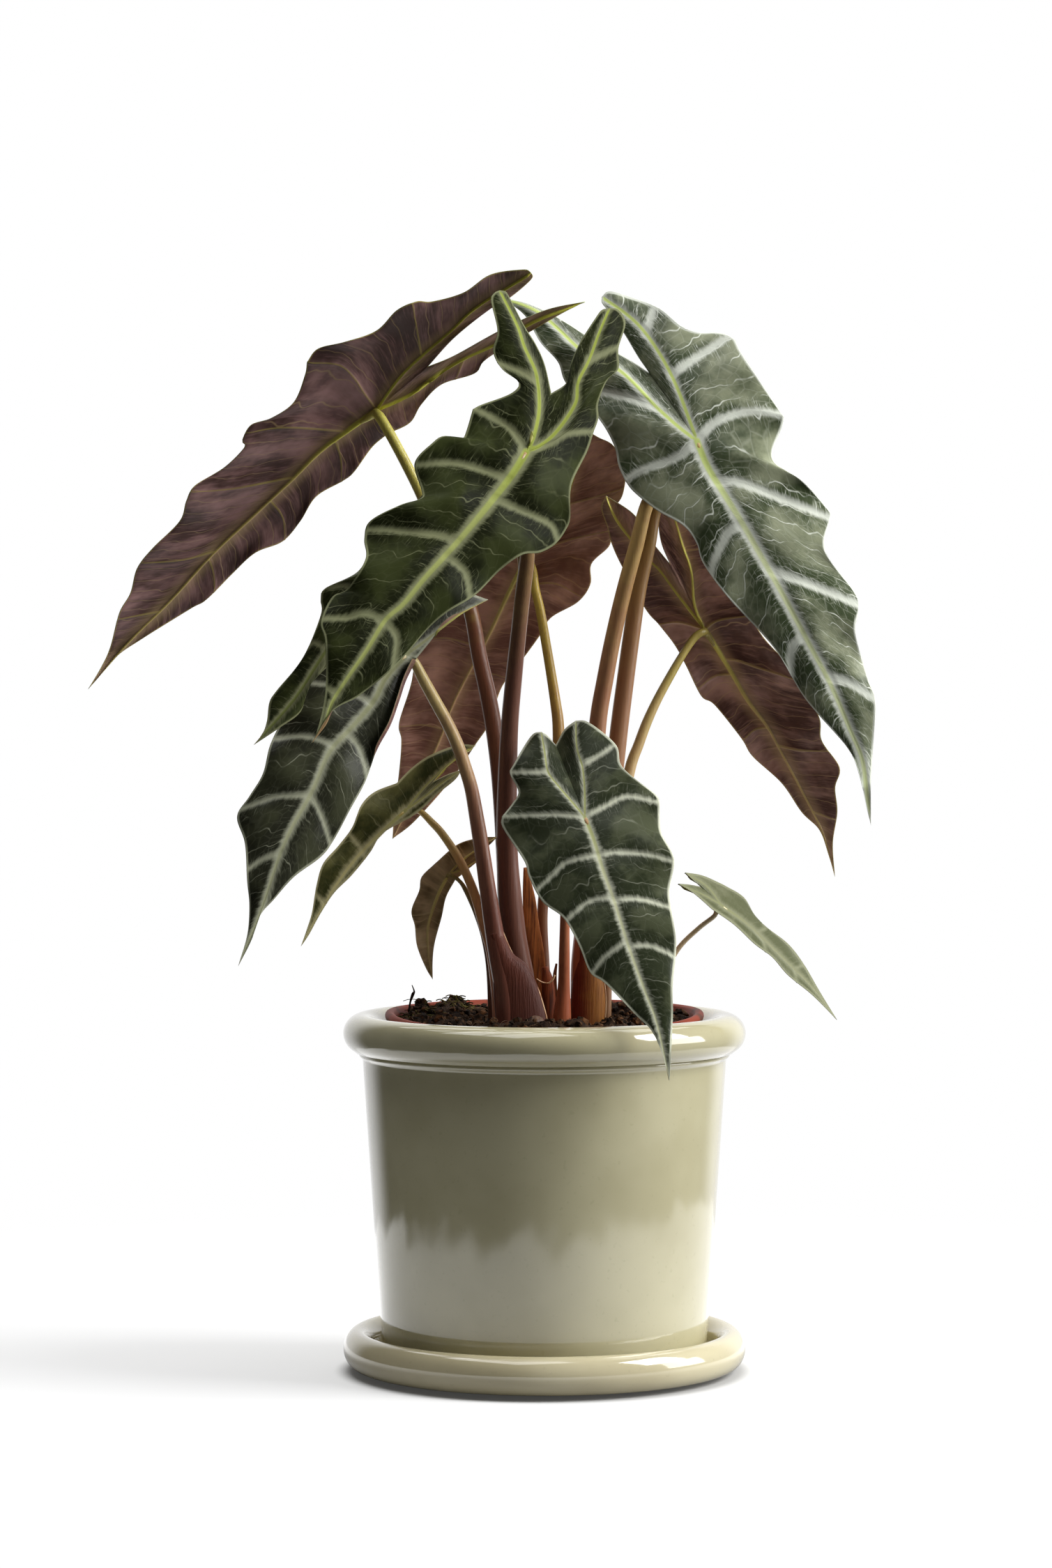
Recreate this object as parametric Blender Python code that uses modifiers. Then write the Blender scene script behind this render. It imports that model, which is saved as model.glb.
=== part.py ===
"""Arrow leaved alocasia in a glazed pot on its saucer.

Metres, +Z up. The origin is the middle of the saucer's underside, and the plant's front faces -Y.
Leaves and stalks are drawn in millimetres in the front elevation, as seen by an eye 1.87 m away,
and each has its own depth, positive away from the eye.
"""

import math

import bmesh
import bpy
from mathutils import Vector, noise

MM = 0.001
GAP = 0.0003
EYE = Vector((-8.25, -1870.0, 300.0))

# Glazed saucer: a flat foot and a fat rounded ring
SAUCER_RING_RADIUS = 0.0835
SAUCER_RING_HALF_WIDTH = 0.0065
SAUCER_RING_HALF_HEIGHT = 0.0084
SAUCER_RING_HEIGHT = 0.0103
SAUCER_RING_ARC = (205.0, -80.0)
SAUCER_RING_STEPS = 12
SAUCER_FLOOR_TOP = 0.0070
SAUCER_FLOOR_INSET = 0.0008
SAUCER_FOOT_RADIUS = 0.0700
SAUCER_FOOT_CHAMFER = (0.0040, 0.0016)

# Glazed outer pot: a tapered body under a rolled rim
ROLL_RADIUS = 0.0814
ROLL_HEIGHT = 0.1513
ROLL_SECTION = 0.0086
ROLL_OUTER_ARC = (90.0, -55.0)
ROLL_OUTER_STEPS = 7
ROLL_INNER_ARC = (222.0, 110.0)
ROLL_INNER_STEPS = 5
BODY_TOP_RADIUS = 0.0813
BODY_TOP_HEIGHT = 0.1395
BODY_FOOT_RADIUS = 0.0722
POT_FOOT = SAUCER_FLOOR_TOP + GAP
POT_WALL = 0.0061
POT_FLOOR_TOP = POT_FOOT + 0.0063
POT_DRAIN_RADIUS = 0.0080
# Profile points as (radius beyond the named one, height or rise above the named one)
POT_BEAD = ((0.0012, 0.1434), (0.0018, 0.1422), (0.0014, 0.1408))
POT_FOOT_CURVE = ((0.0004, 0.0035), (-0.0008, 0.0008), (-0.0030, 0.0))
POT_FLOOR_CURVE = ((-0.0030, 0.0), (0.0004, 0.0035))

# Thin plastic nursery pot standing inside
NURSERY_RIM_RADIUS = 0.0690
NURSERY_RIM_HEIGHT = 0.1593
NURSERY_RIM_SECTION = 0.0023
NURSERY_RIM_STEPS = 4
NURSERY_NECK = (-0.0002, -0.0030)
NURSERY_LIP = (0.0008, 0.0016)
NURSERY_WALL = 0.0014
NURSERY_TOP_RADIUS = 0.0679
NURSERY_FOOT_RADIUS = 0.0575
NURSERY_FOOT_CHAMFER = 0.0020
NURSERY_FLOOR_INSET = 0.0005
NURSERY_FOOT = POT_FLOOR_TOP + GAP
NURSERY_DRAIN_RADIUS = 0.0060

# Potting soil
SOIL_TOP = 0.1548
SOIL_EDGE_DROP = 0.0022
SOIL_LUMP_SIZE = 0.0125
SOIL_LUMP_HEIGHT = 0.0042
SOIL_CRUMB_SIZE = SOIL_LUMP_SIZE * 0.45
SOIL_CRUMB_HEIGHT = SOIL_LUMP_HEIGHT * 0.4
SOIL_CRUMB_SEED = 3.0
SOIL_RINGS = 9
SOIL_FOOT = NURSERY_FOOT + NURSERY_WALL + GAP
SOIL_FOOT_INSET = 0.0006
# Each mound of soil is its (x, y), its height and how far it spreads, in millimetres
SOIL_MOUNDS = ((-44.0, 48.0, 8.0, 7.5), (-57.0, 22.0, 4.5, 6.0), (40.0, 38.0, 4.0, 9.0))

# Leaves and stalks, in millimetres
BLADE_THICKNESS = 0.9
JOINT_GAP = 0.55
STALK_FOOT_HEIGHT = 140.0
STALK_SIDES = 8
ELBOW_CLEARANCE = 2.0
ROUND_RINGS = 5
CUTTER_TOP_HEIGHT = 171.0
ARCH_EASE = 12.0

TURNED_STEPS = 36
TURNED_MERGE = 0.00002
FINE_STEPS = 10
SHARP_ANGLE = math.radians(40)

# One entry a leaf. Points are (x, z) in the front elevation. "left" and "right" are as seen looking
# from the stalk's joint to the tip, with the right one first clockwise, and each side has
#   vein: the lobe's vein, joint to lobe tip          lobe: the outer margin, lobe tip to shoulder
#   blade: the outer margin, shoulder to leaf tip     inner: the margin between lobe tip and notch
# depth at the joint, slope per mm towards the tip, bend per mm squared, tilt per mm to the right,
# and arch, how far the margins fall back. face is 1 where the upper face is seen and -1 if not.
# waves is how many waves a margin has and wave how high each is. cells are the counts of cells along
# a lobe, along the blade and across each side. stalk is (x, z, width) from the joint to the foot,
# foot_depth its depth at the foot, and flat how thick the foot is against its width.
LEAVES = {
    "leaf_01": dict(
        midrib=[(-75, 430), (-89, 420), (-101, 411), (-114, 398), (-131, 382), (-148, 366),
                (-167, 345), (-186, 326), (-204, 305)],
        notch=(-52, 449),
        left=dict(
            vein=[(-65, 444), (-55, 454), (-42, 465), (-30, 476), (-6, 491)],
            lobe=[(-24, 490), (-36, 482), (-50, 478), (-57, 478), (-66, 474), (-75, 465),
                  (-89, 460), (-101, 457), (-106, 451)],
            blade=[(-107, 445), (-112, 433), (-122, 426), (-131, 423), (-135, 416), (-134, 413),
                   (-143, 404), (-156, 396), (-160, 389), (-163, 380), (-175, 368), (-182, 359),
                   (-185, 348), (-190, 339), (-194, 324), (-198, 315)],
            inner=[(-15, 480), (-25, 474), (-40, 462)]),
        right=dict(
            vein=[(-60, 437), (-48, 446), (-36, 453), (-23, 459), (-4, 470), (18, 478)],
            lobe=[(3, 470), (-25, 453), (-31, 446), (-46, 441), (-55, 432), (-60, 424), (-70, 419)],
            blade=[(-77, 413), (-85, 402), (-90, 398), (-102, 391), (-109, 380), (-117, 371),
                   (-129, 366), (-139, 357), (-151, 345), (-158, 341), (-179, 328), (-192, 319)],
            inner=[(0, 474), (-20, 465), (-40, 454)]),
        depth=40, slope=0.4, bend=-0.001, tilt=0.8, arch=-0.15, face=-1, waves=6, wave=2.5,
        cells=(11, 21, 2),
        stalk=[(-69, 419, 3.4), (-61.5, 405, 3.6), (-55.5, 393, 4.0), (-48, 376, 4.6),
               (-40, 357, 5.2), (-33, 340, 5.7), (-29.2, 320, 6.0), (-24.8, 300, 6.3),
               (-21.5, 280, 6.5), (-19.4, 260, 6.6), (-17.8, 230, 6.6), (-17, 190, 6.8),
               (-16.5, 140, 7.0)],
        foot_depth=8.5, flat=0.9),
    "leaf_02": dict(
        midrib=[(-8, 411), (-15, 400), (-26, 386), (-36, 374), (-44, 365), (-54, 354), (-63, 343),
                (-71, 336), (-79, 323), (-88, 310), (-95, 299), (-98, 290), (-104, 281)],
        notch=(3, 437),
        left=dict(
            vein=[(-5, 417), (-2.5, 428), (-2.5, 438), (-4, 447), (-9, 458), (-12, 467), (-20, 483)],
            lobe=[(-23.5, 477), (-21, 465), (-23, 456), (-19, 448), (-11.5, 442), (-15, 437),
                  (-28, 432), (-32, 430)],
            blade=[(-35, 420), (-37, 417), (-45, 418), (-50, 415), (-58, 406), (-55, 394),
                   (-55.5, 390), (-65, 387), (-78, 380), (-80.5, 372), (-80, 363), (-88, 350),
                   (-95, 346), (-100, 335), (-98, 326), (-98, 303), (-102, 285)],
            inner=[(-15, 478), (-9, 467), (-4, 459), (0, 450)]),
        right=dict(
            vein=[(0, 415), (7, 422), (14, 433), (15, 442), (20, 452), (24, 463), (29, 475)],
            lobe=[(34, 472), (36, 467), (33, 457), (33, 448), (28, 443), (24, 433), (24, 426),
                  (22, 420)],
            blade=[(19, 411), (12, 396), (11.5, 382), (10, 377), (5, 370), (-2, 366), (-10, 365),
                   (-20, 358), (-31, 347), (-44, 339), (-53, 331), (-67, 315), (-83, 302),
                   (-95, 295)],
            inner=[(23, 472), (16, 460), (12, 451), (10, 442)]),
        depth=-50, slope=-0.6, bend=0.001, tilt=0.15, arch=0.2, face=1, waves=5, wave=2.5,
        cells=(8, 22, 2),
        stalk=[(-7.8, 400, 4.0), (-7.5, 382, 4.8), (-7.7, 364, 5.4), (-9.4, 350, 5.7),
               (-11.6, 330, 5.8), (-13.7, 310, 6.2), (-15.5, 290, 6.5), (-16.4, 270, 7.1),
               (-16.8, 250, 7.7), (-16.6, 230, 8.3), (-15.4, 210, 10.2), (-13.4, 192, 11.4),
               (-10.8, 175, 12.6), (-8.4, 157, 12.6), (-8, 140, 12.4)],
        foot_depth=-1, flat=0.6),
    "leaf_03": dict(
        midrib=[(68, 416), (73, 404), (81, 391), (89, 378), (97, 364), (105, 350), (112, 337),
                (120, 322), (127, 309), (132, 298), (137, 286), (142, 274), (144, 260), (146, 244)],
        notch=(47, 446),
        left=dict(
            vein=[(60, 422), (50, 431), (34, 447), (18, 455), (6, 466), (-4, 474), (-20, 480)],
            lobe=[(-9, 472), (-2, 460), (6, 451), (10, 441), (24, 426), (31, 414), (33, 405),
                  (36, 398)],
            blade=[(40, 393), (50, 385), (62, 378), (68, 370), (71, 361), (82, 346), (97, 330),
                   (105, 320), (115, 303), (123, 293), (136, 278), (141, 266)],
            inner=[(-7, 477), (6, 471), (20, 462), (38, 452)]),
        right=dict(
            vein=[(64, 427), (59, 440), (53, 452), (45, 464), (37, 472), (25.5, 480)],
            lobe=[(29, 482.5), (38, 480), (51, 475), (61, 467), (69, 464), (77, 464), (84, 462),
                  (88, 455), (98, 440), (107, 427)],
            blade=[(106, 422), (102, 411), (104, 405), (115, 398), (127, 385), (128, 381),
                   (125, 370), (128, 362), (139, 348), (141, 341), (139, 330), (145, 309),
                   (148, 300), (147, 280), (146, 264)],
            inner=[(36, 463), (42, 453)]),
        depth=-10, slope=-0.5, bend=0.0009, tilt=-0.05, arch=0.2, face=1, waves=5, wave=2.5,
        cells=(9, 22, 2),
        stalk=[(61, 408, 4.0), (53, 398, 4.6), (46, 388, 5.0), (41.2, 370, 5.5), (35.8, 350, 5.8),
               (31.1, 330, 6.0), (27.2, 310, 6.3), (23.7, 288, 6.5), (21.6, 250, 7.0),
               (20.4, 218, 8.4), (19.4, 198, 11.5), (19.2, 182, 14.4), (19.2, 168, 14.8),
               (18.6, 157, 13.2), (18.6, 140, 12.8)],
        foot_depth=3, flat=0.62),
    "leaf_04": dict(
        midrib=[(-7, 366), (-15, 350), (-24.5, 330), (-34, 312), (-41, 298), (-47, 282), (-57, 260),
                (-68, 238)],
        notch=(-1, 386),
        left=dict(
            vein=[(-14, 380), (-20, 395), (-27, 412)],
            lobe=[(-34, 403), (-40, 388), (-40, 378), (-44, 366)],
            blade=[(-51, 350), (-50, 340), (-57, 325), (-59.5, 308), (-65, 290), (-64, 282),
                   (-65, 268), (-67, 252)],
            inner=[(-18, 405), (-8, 393)]),
        right=dict(
            vein=[(2, 376), (9, 388), (13, 400), (18, 421)],
            lobe=[(24, 417.5), (31, 413.5), (36, 403), (35, 392), (31, 385), (30, 376)],
            blade=[(29, 369), (21, 361), (20.6, 352), (15, 344), (3, 337), (-2, 329), (-10, 318),
                   (-19, 306), (-24.5, 290), (-31, 280), (-42, 264), (-58, 246)],
            inner=[(12, 410), (5, 396)]),
        depth=58, slope=0.45, bend=-0.0012, tilt=0.0, arch=-0.1, face=-1, waves=4, wave=2.0,
        cells=(6, 15, 2),
        stalk=[(-5, 358, 2.8), (-4.2, 350, 3.4), (-1.9, 340, 3.6), (1.6, 320, 3.7),
               (4.8, 300, 4.1), (6.2, 288, 4.5), (6, 270, 4.6), (4.2, 246, 4.6), (1.4, 225, 4.6),
               (-0.9, 205, 4.6), (-0.2, 182, 5.0), (0.4, 162, 6.2), (0.5, 140, 6.6)],
        foot_depth=12, flat=0.9),
    "leaf_05": dict(
        midrib=[(71.6, 332), (78, 322), (84, 312), (91, 300), (100, 288), (106, 277), (115, 260),
                (124, 242), (130, 221)],
        notch=(56, 361),
        left=dict(
            vein=[(61, 346), (52, 358), (45, 365), (33, 380), (27.5, 391.5)],
            lobe=[(25.3, 386), (28, 377.5), (30, 370), (34.5, 360), (45, 341), (51, 334)],
            blade=[(58, 325), (63, 316), (70, 302), (76, 298), (88, 283), (93, 275), (106, 263),
                   (115, 250), (123, 242), (127, 231)],
            inner=[(40, 383), (48, 371)]),
        right=dict(
            vein=[(67, 343), (65.6, 358), (61, 372), (54, 396)],
            lobe=[(62, 392), (70, 378), (76, 364), (86, 350), (92, 338)],
            blade=[(98, 328), (108, 317), (116, 306), (123, 292), (124, 282), (132, 270),
                   (130, 261), (131, 250), (129, 236)],
            inner=[(51, 382), (52, 371)]),
        depth=48, slope=0.3, bend=-0.0006, tilt=-0.4, arch=-0.15, face=-1, waves=4, wave=2.0,
        cells=(6, 14, 2),
        stalk=[(67, 328, 3.0), (61.5, 320, 3.0), (55.7, 310, 3.3), (50.3, 300, 3.5),
               (45.7, 290, 3.8), (42, 280, 4.0), (38.4, 270, 4.3), (34.4, 250, 4.8),
               (30.6, 220, 5.0), (28, 185, 5.2), (27, 140, 5.2)],
        foot_depth=16, flat=0.9),
    "leaf_06": dict(
        midrib=[(-61, 321), (-71, 310), (-76, 300), (-86, 288), (-96, 277), (-104, 259),
                (-113, 243), (-119, 229), (-126, 208), (-131, 195), (-137, 181)],
        notch=(-59, 340),
        left=dict(
            vein=[(-66, 332), (-71, 345), (-74, 360)],
            lobe=[(-81, 350), (-86, 338), (-95, 330)],
            blade=[(-104, 317), (-112, 302), (-119, 288), (-123, 279), (-126, 267), (-132, 257),
                   (-137.5, 248), (-134, 236), (-133, 219), (-132, 208), (-133, 195)],
            inner=[(-68, 352)]),
        right=dict(
            vein=[(-50, 329), (-38, 338), (-25, 345)],
            lobe=[(-36, 340), (-45, 336), (-49, 329), (-57, 319)],
            blade=[(-62, 309), (-65, 300), (-69, 289), (-75, 278), (-80, 264), (-87, 251),
                   (-94, 238), (-100, 230), (-112, 221), (-121, 211), (-127, 204), (-131, 193)],
            inner=[(-36, 348), (-48, 346)]),
        depth=-25, slope=-0.45, bend=0.0012, tilt=0.3, arch=0.2, face=1, waves=4, wave=2.0,
        cells=(5, 16, 2),
        stalk=[(-58.5, 317.5, 3.6), (-54.5, 310, 4.2), (-49, 300, 4.5), (-43.5, 290, 4.6),
               (-38.9, 280, 4.8), (-35.5, 270, 4.9), (-32.6, 260, 5.1), (-30.1, 246, 5.5),
               (-27.5, 230, 6.0), (-25.2, 214, 6.8), (-22.6, 196, 7.9), (-20.2, 186, 9.4),
               (-16, 179, 15.5), (-12.6, 171, 19.6), (-10.8, 160, 22.4), (-10.4, 140, 20.5)],
        foot_depth=-15.5, flat=0.4),
    "leaf_07": dict(
        midrib=[(-55, 374), (-70, 356), (-86, 338), (-99, 320), (-110, 303), (-119, 292),
                (-130, 280)],
        notch=(-45, 388),
        left=dict(
            vein=[(-52, 385), (-45, 402)],
            lobe=[(-50, 397), (-57, 389), (-63, 383), (-71, 375)],
            blade=[(-78, 366), (-84, 357), (-98, 350), (-100, 345), (-100, 338), (-108, 319),
                   (-120, 304), (-123, 299), (-124, 291), (-126, 285)],
            inner=[(-44, 396)]),
        right=dict(
            vein=[(-44, 381), (-28, 391)],
            lobe=[(-32, 383), (-40, 371), (-48, 360)],
            blade=[(-60, 347), (-72, 336), (-84, 326), (-96, 316), (-106, 305), (-109, 295),
                   (-118, 288)],
            inner=[(-36, 391)]),
        depth=-45, slope=-0.25, bend=0.0006, tilt=0.3, arch=0.25, face=1, waves=3, wave=2.0,
        cells=(4, 11, 1),
        stalk=[(-42, 383, 3.0), (-33, 386, 3.1), (-24, 385, 3.2), (-16, 380, 3.4), (-11, 370, 3.6),
               (-9.5, 354, 3.8), (-11.6, 330, 4.0), (-14.6, 290, 4.2), (-15.6, 250, 4.3),
               (-14, 215, 4.3), (-12, 192, 4.3), (-10.2, 175, 4.4), (-9, 158, 4.4), (-9, 140, 4.4)],
        foot_depth=7, flat=0.9),
    "leaf_08": dict(
        midrib=[(-62, 251), (-81, 233), (-92, 219), (-101, 204), (-109, 190)],
        notch=(-50, 263.5),
        left=dict(
            vein=[(-52, 263), (-41, 273), (-31, 280)],
            lobe=[(-39, 280), (-51, 275.5), (-59, 270), (-66, 263)],
            blade=[(-76, 259), (-82, 253), (-86, 243), (-92, 235), (-99, 227), (-102, 217),
                   (-104, 205), (-106.5, 197)],
            inner=[(-37, 276), (-44, 270)]),
        right=dict(
            vein=[(-54, 256.5), (-46, 263), (-37, 269)],
            lobe=[(-40, 264.5), (-48, 258), (-54, 252), (-60, 247.5)],
            blade=[(-64, 245.5), (-73, 240), (-78, 232), (-86, 222), (-94, 214), (-100, 205),
                   (-105.5, 195)],
            inner=[(-43, 267)]),
        depth=0, slope=-0.1, bend=0.0, tilt=-0.6, arch=0.1, face=1, waves=3, wave=1.2,
        cells=(4, 9, 1),
        stalk=[(-56, 250.5, 2.2), (-50, 245, 2.8), (-45.5, 240, 3.0), (-38.8, 230, 3.4),
               (-33.9, 220, 3.7), (-30.2, 210, 4.1), (-27.4, 200, 4.4), (-24.4, 190, 4.6),
               (-22.4, 178, 4.7), (-21, 162, 4.8), (-20.8, 140, 4.8)],
        foot_depth=0, flat=0.9),
    "leaf_09": dict(
        midrib=[(18, 248), (22, 238), (25, 228), (27, 222), (32, 208), (38, 189), (45, 170),
                (50.5, 155), (56, 129.5)],
        notch=(5, 280),
        left=dict(
            vein=[(12, 255), (6, 262), (1.6, 268), (0.2, 276), (-1.4, 286)],
            lobe=[(-6, 284), (-14, 271), (-15.4, 267), (-11.6, 259), (-15, 253), (-19, 248)],
            blade=[(-18.6, 243), (-9, 228), (-7, 221), (-1, 210), (7, 204), (11, 199), (16, 189),
                   (20.6, 178), (27.5, 173), (41, 159), (48, 152), (53, 141)],
            inner=[(1.5, 284)]),
        right=dict(
            vein=[(18, 259), (17, 270), (14.5, 279), (14, 291)],
            lobe=[(20, 290), (32, 280), (35, 270), (49.5, 258), (51.6, 254)],
            blade=[(51.6, 247), (52.5, 240), (58, 229), (56, 216), (56.3, 209), (59, 192),
                   (57.5, 173), (57.5, 160), (57, 147)],
            inner=[(9, 287)]),
        depth=-45, slope=-0.6, bend=0.0014, tilt=0.0, arch=0.2, face=1, waves=4, wave=2.0,
        cells=(6, 16, 2),
        stalk=[(14.5, 238, 3.2), (11, 222, 3.8), (9.5, 210, 4.0), (9.1, 200, 4.2), (8.9, 186, 4.8),
               (8.7, 172, 5.4), (7.9, 158, 8.0), (7.7, 140, 8.0)],
        foot_depth=-9, flat=0.9),
    "leaf_10": dict(
        midrib=[(79, 208.5), (92, 199), (108, 183.5), (120, 171.5), (131, 157)],
        notch=(70, 216.5),
        left=dict(
            vein=[(71, 213), (60, 218)],
            lobe=[(67, 213.5), (75, 206.5)],
            blade=[(85, 199.5), (94, 191), (102, 185), (109, 177), (120, 168)],
            inner=[(65, 217.5)]),
        right=dict(
            vein=[(73, 216.5), (63, 223)],
            lobe=[(71, 221.5), (80, 217.5)],
            blade=[(89, 212), (94, 204), (100, 198), (109, 191), (116, 182), (123, 170)],
            inner=[(66, 220)]),
        depth=-15, slope=0.0, bend=0.0, tilt=2.0, arch=0.2, face=1, waves=2, wave=1.0,
        cells=(3, 9, 1),
        stalk=[(76, 203.5, 2.0), (69, 198, 2.1), (60, 189, 2.2), (53, 176, 2.4), (49, 163, 2.6),
               (47, 140, 2.8)],
        foot_depth=-14, flat=0.9),
    "leaf_11": dict(
        midrib=[(64, 404), (74, 388), (85, 370), (96, 350), (107, 328), (118, 300)],
        notch=(55, 425),
        left=dict(
            vein=[(54, 413), (44, 425), (34, 440)],
            lobe=[(34, 430), (40, 418), (44, 406), (50, 397)],
            blade=[(58, 388), (68, 377), (75, 362), (86, 347), (98, 332), (109, 315)],
            inner=[(42, 433)]),
        right=dict(
            vein=[(66, 416), (66, 432), (60, 449)],
            lobe=[(70, 446), (80, 436), (86, 424), (94, 412)],
            blade=[(98, 398), (102, 386), (108, 370), (110, 352), (115, 336), (118, 316)],
            inner=[(57, 437)]),
        depth=8, slope=-0.2, bend=0.0, tilt=0.0, arch=0.2, face=1, waves=3, wave=2.0,
        cells=(5, 12, 1),
        stalk=[(57, 396, 4.0), (49.6, 385, 4.8), (46.5, 370, 5.6), (42, 350, 6.1), (39, 330, 6.4),
               (36.3, 310, 6.6), (33.7, 290, 6.8), (31.4, 270, 6.9), (27, 235, 7.0),
               (21, 195, 7.2), (18, 165, 7.2), (17.4, 140, 7.2)],
        foot_depth=17, flat=0.9),
    "leaf_12": dict(
        midrib=[(-43, 222), (-48, 212), (-52, 199), (-52, 187), (-50, 175)],
        notch=(-31, 231),
        left=dict(
            vein=[(-36, 229), (-21, 239)],
            lobe=[(-29, 238.5), (-39, 235.5), (-49, 227)],
            blade=[(-55, 221), (-56, 215), (-59.5, 206), (-58, 199), (-57, 190), (-53, 180)],
            inner=[(-25, 235)]),
        right=dict(
            vein=[(-36, 225), (-27, 230)],
            lobe=[(-31, 227), (-40, 219.5)],
            blade=[(-44, 212), (-46, 203), (-49, 192), (-50, 184)],
            inner=[(-29, 230)]),
        depth=5, slope=0.0, bend=0.0, tilt=0.05, arch=-0.1, face=-1, waves=2, wave=1.0,
        cells=(3, 8, 1),
        stalk=[(-39.6, 220.5, 1.6), (-37, 218, 1.7), (-35.2, 215, 2.0), (-33.2, 211, 2.2),
               (-30.6, 205, 2.4), (-27.2, 195, 2.8), (-24.8, 182, 3.0), (-23.8, 165, 3.2),
               (-23.6, 140, 3.2)],
        foot_depth=9, flat=0.9),
}

# Dead sheaths and the corm: (x, depth, height, width, thickness) at each section, foot to tip
OLD_SHEATHS = {
    "papery_sheath": [(-2.6, 6.4, 140, 6.6, 1.6), (-2.6, 6.4, 168, 7.0, 1.6),
                      (-3.6, 6.4, 184, 7.4, 1.4), (-5.8, 6.4, 200, 6.6, 1.3),
                      (-7.0, 6.2, 212, 5.4, 1.2), (-8.6, 6.0, 225, 1.6, 1.0)],
    "split_sheath": [(2.4, -2.6, 140, 5.6, 3.2), (2.2, -2.6, 160, 5.8, 3.2),
                     (1.6, -2.6, 173, 5.6, 2.6), (0.2, -2.4, 181, 2.6, 1.6)],
    "sheath_tip": [(5.4, 3.0, 140, 3.0, 1.8), (4.6, 3.0, 166, 2.6, 1.6),
                   (4.6, 3.0, 176, 1.8, 1.3), (5.4, 3.0, 182, 0.9, 0.9)],
}
CORM_MIDDLE = (-4.0, -25.0, 156.0)
CORM_RADIUS = 4.6
CORM_SEGMENTS = 10
CORM_RINGS = 7

COLOURS = {
    "glaze": ((0.52, 0.50, 0.36), 0.12),
    "terracotta": ((0.42, 0.11, 0.06), 0.55),
    "soil": ((0.045, 0.026, 0.016), 0.95),
    "upper face": ((0.035, 0.075, 0.035), 0.35),
    "under face": ((0.10, 0.035, 0.035), 0.45),
    "stalk": ((0.22, 0.10, 0.05), 0.45),
    "dry sheath": ((0.40, 0.17, 0.05), 0.7),
    "corm": ((0.10, 0.05, 0.03), 0.95),
}


def clear_scene():
    for obj in list(bpy.data.objects):
        bpy.data.objects.remove(obj, do_unlink=True)


def new_collection(name):
    made = bpy.data.collections.new(name)
    bpy.context.scene.collection.children.link(made)
    return made


def material(name, finish):
    """A plain coloured material of its own for one piece."""
    colour, roughness = COLOURS[finish]
    made = bpy.data.materials.new(name + " " + finish)
    made.use_nodes = True
    shader = made.node_tree.nodes["Principled BSDF"]
    shader.inputs["Base Color"].default_value = (*colour, 1.0)
    shader.inputs["Roughness"].default_value = roughness
    shader.inputs["Metallic"].default_value = 0.0
    return made


def add_object(name, mesh, finish, collection):
    made = bpy.data.objects.new(name, mesh)
    mesh.materials.append(material(name, finish))
    mesh.shade_smooth()
    mesh.set_sharp_from_angle(angle=SHARP_ANGLE)
    collection.objects.link(made)
    return made


def arc(middle, half_width, half_height, start, end, steps):
    """Points on an ellipse in the (radius, height) plane, by angle in degrees from outwards."""
    angles = [math.radians(start + (end - start) * i / steps) for i in range(steps + 1)]
    return [
        (middle[0] + half_width * math.cos(a), middle[1] + half_height * math.sin(a)) for a in angles
    ]


def beside(corner, offsets):
    """Profile points given by how far they stand from a corner."""
    return [(corner[0] + out, corner[1] + up) for out, up in offsets]


def turned(name, profile, closed, finish, collection):
    """A Screw of a profile of (radius, height) points that runs down its outer side."""
    mesh = bpy.data.meshes.new(name)
    count = len(profile)
    edges = [(i, (i + 1) % count) for i in range(count if closed else count - 1)]
    mesh.from_pydata([(r, 0.0, z) for r, z in profile], edges, [])
    made = bpy.data.objects.new(name, mesh)
    mesh.materials.append(material(name, finish))
    collection.objects.link(made)
    screw = made.modifiers.new("Turn", "SCREW")
    screw.steps = TURNED_STEPS
    screw.render_steps = TURNED_STEPS
    screw.use_merge_vertices = True
    screw.merge_threshold = TURNED_MERGE
    screw.use_smooth_shade = True
    return made


def saucer(collection):
    ring = (SAUCER_RING_RADIUS, SAUCER_RING_HEIGHT)
    section = (SAUCER_RING_HALF_WIDTH, SAUCER_RING_HALF_HEIGHT)
    over = arc(ring, *section, *SAUCER_RING_ARC, SAUCER_RING_STEPS)
    floor_edge = (over[0][0] - SAUCER_FLOOR_INSET, SAUCER_FLOOR_TOP)
    chamfer_out, chamfer_up = SAUCER_FOOT_CHAMFER
    profile = [(0.0, SAUCER_FLOOR_TOP), floor_edge, *over]
    profile += [(SAUCER_FOOT_RADIUS + chamfer_out, chamfer_up), (SAUCER_FOOT_RADIUS, 0.0), (0.0, 0.0)]
    turned("saucer", profile, False, "glaze", collection)


def outer_pot(collection):
    roll = (ROLL_RADIUS, ROLL_HEIGHT)
    foot = (BODY_FOOT_RADIUS, POT_FOOT)
    inner_foot = (BODY_FOOT_RADIUS - POT_WALL, POT_FLOOR_TOP)
    profile = arc(roll, ROLL_SECTION, ROLL_SECTION, *ROLL_OUTER_ARC, ROLL_OUTER_STEPS)
    profile += beside((BODY_TOP_RADIUS, 0.0), POT_BEAD)
    profile += [(BODY_TOP_RADIUS, BODY_TOP_HEIGHT), *beside(foot, POT_FOOT_CURVE)]
    profile += [(POT_DRAIN_RADIUS, POT_FOOT), (POT_DRAIN_RADIUS, POT_FLOOR_TOP)]
    profile += beside(inner_foot, POT_FLOOR_CURVE)
    profile += [(BODY_TOP_RADIUS - POT_WALL, BODY_TOP_HEIGHT)]
    profile += arc(roll, ROLL_SECTION, ROLL_SECTION, *ROLL_INNER_ARC, ROLL_INNER_STEPS)
    turned("outer_pot", profile, True, "glaze", collection)


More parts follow.
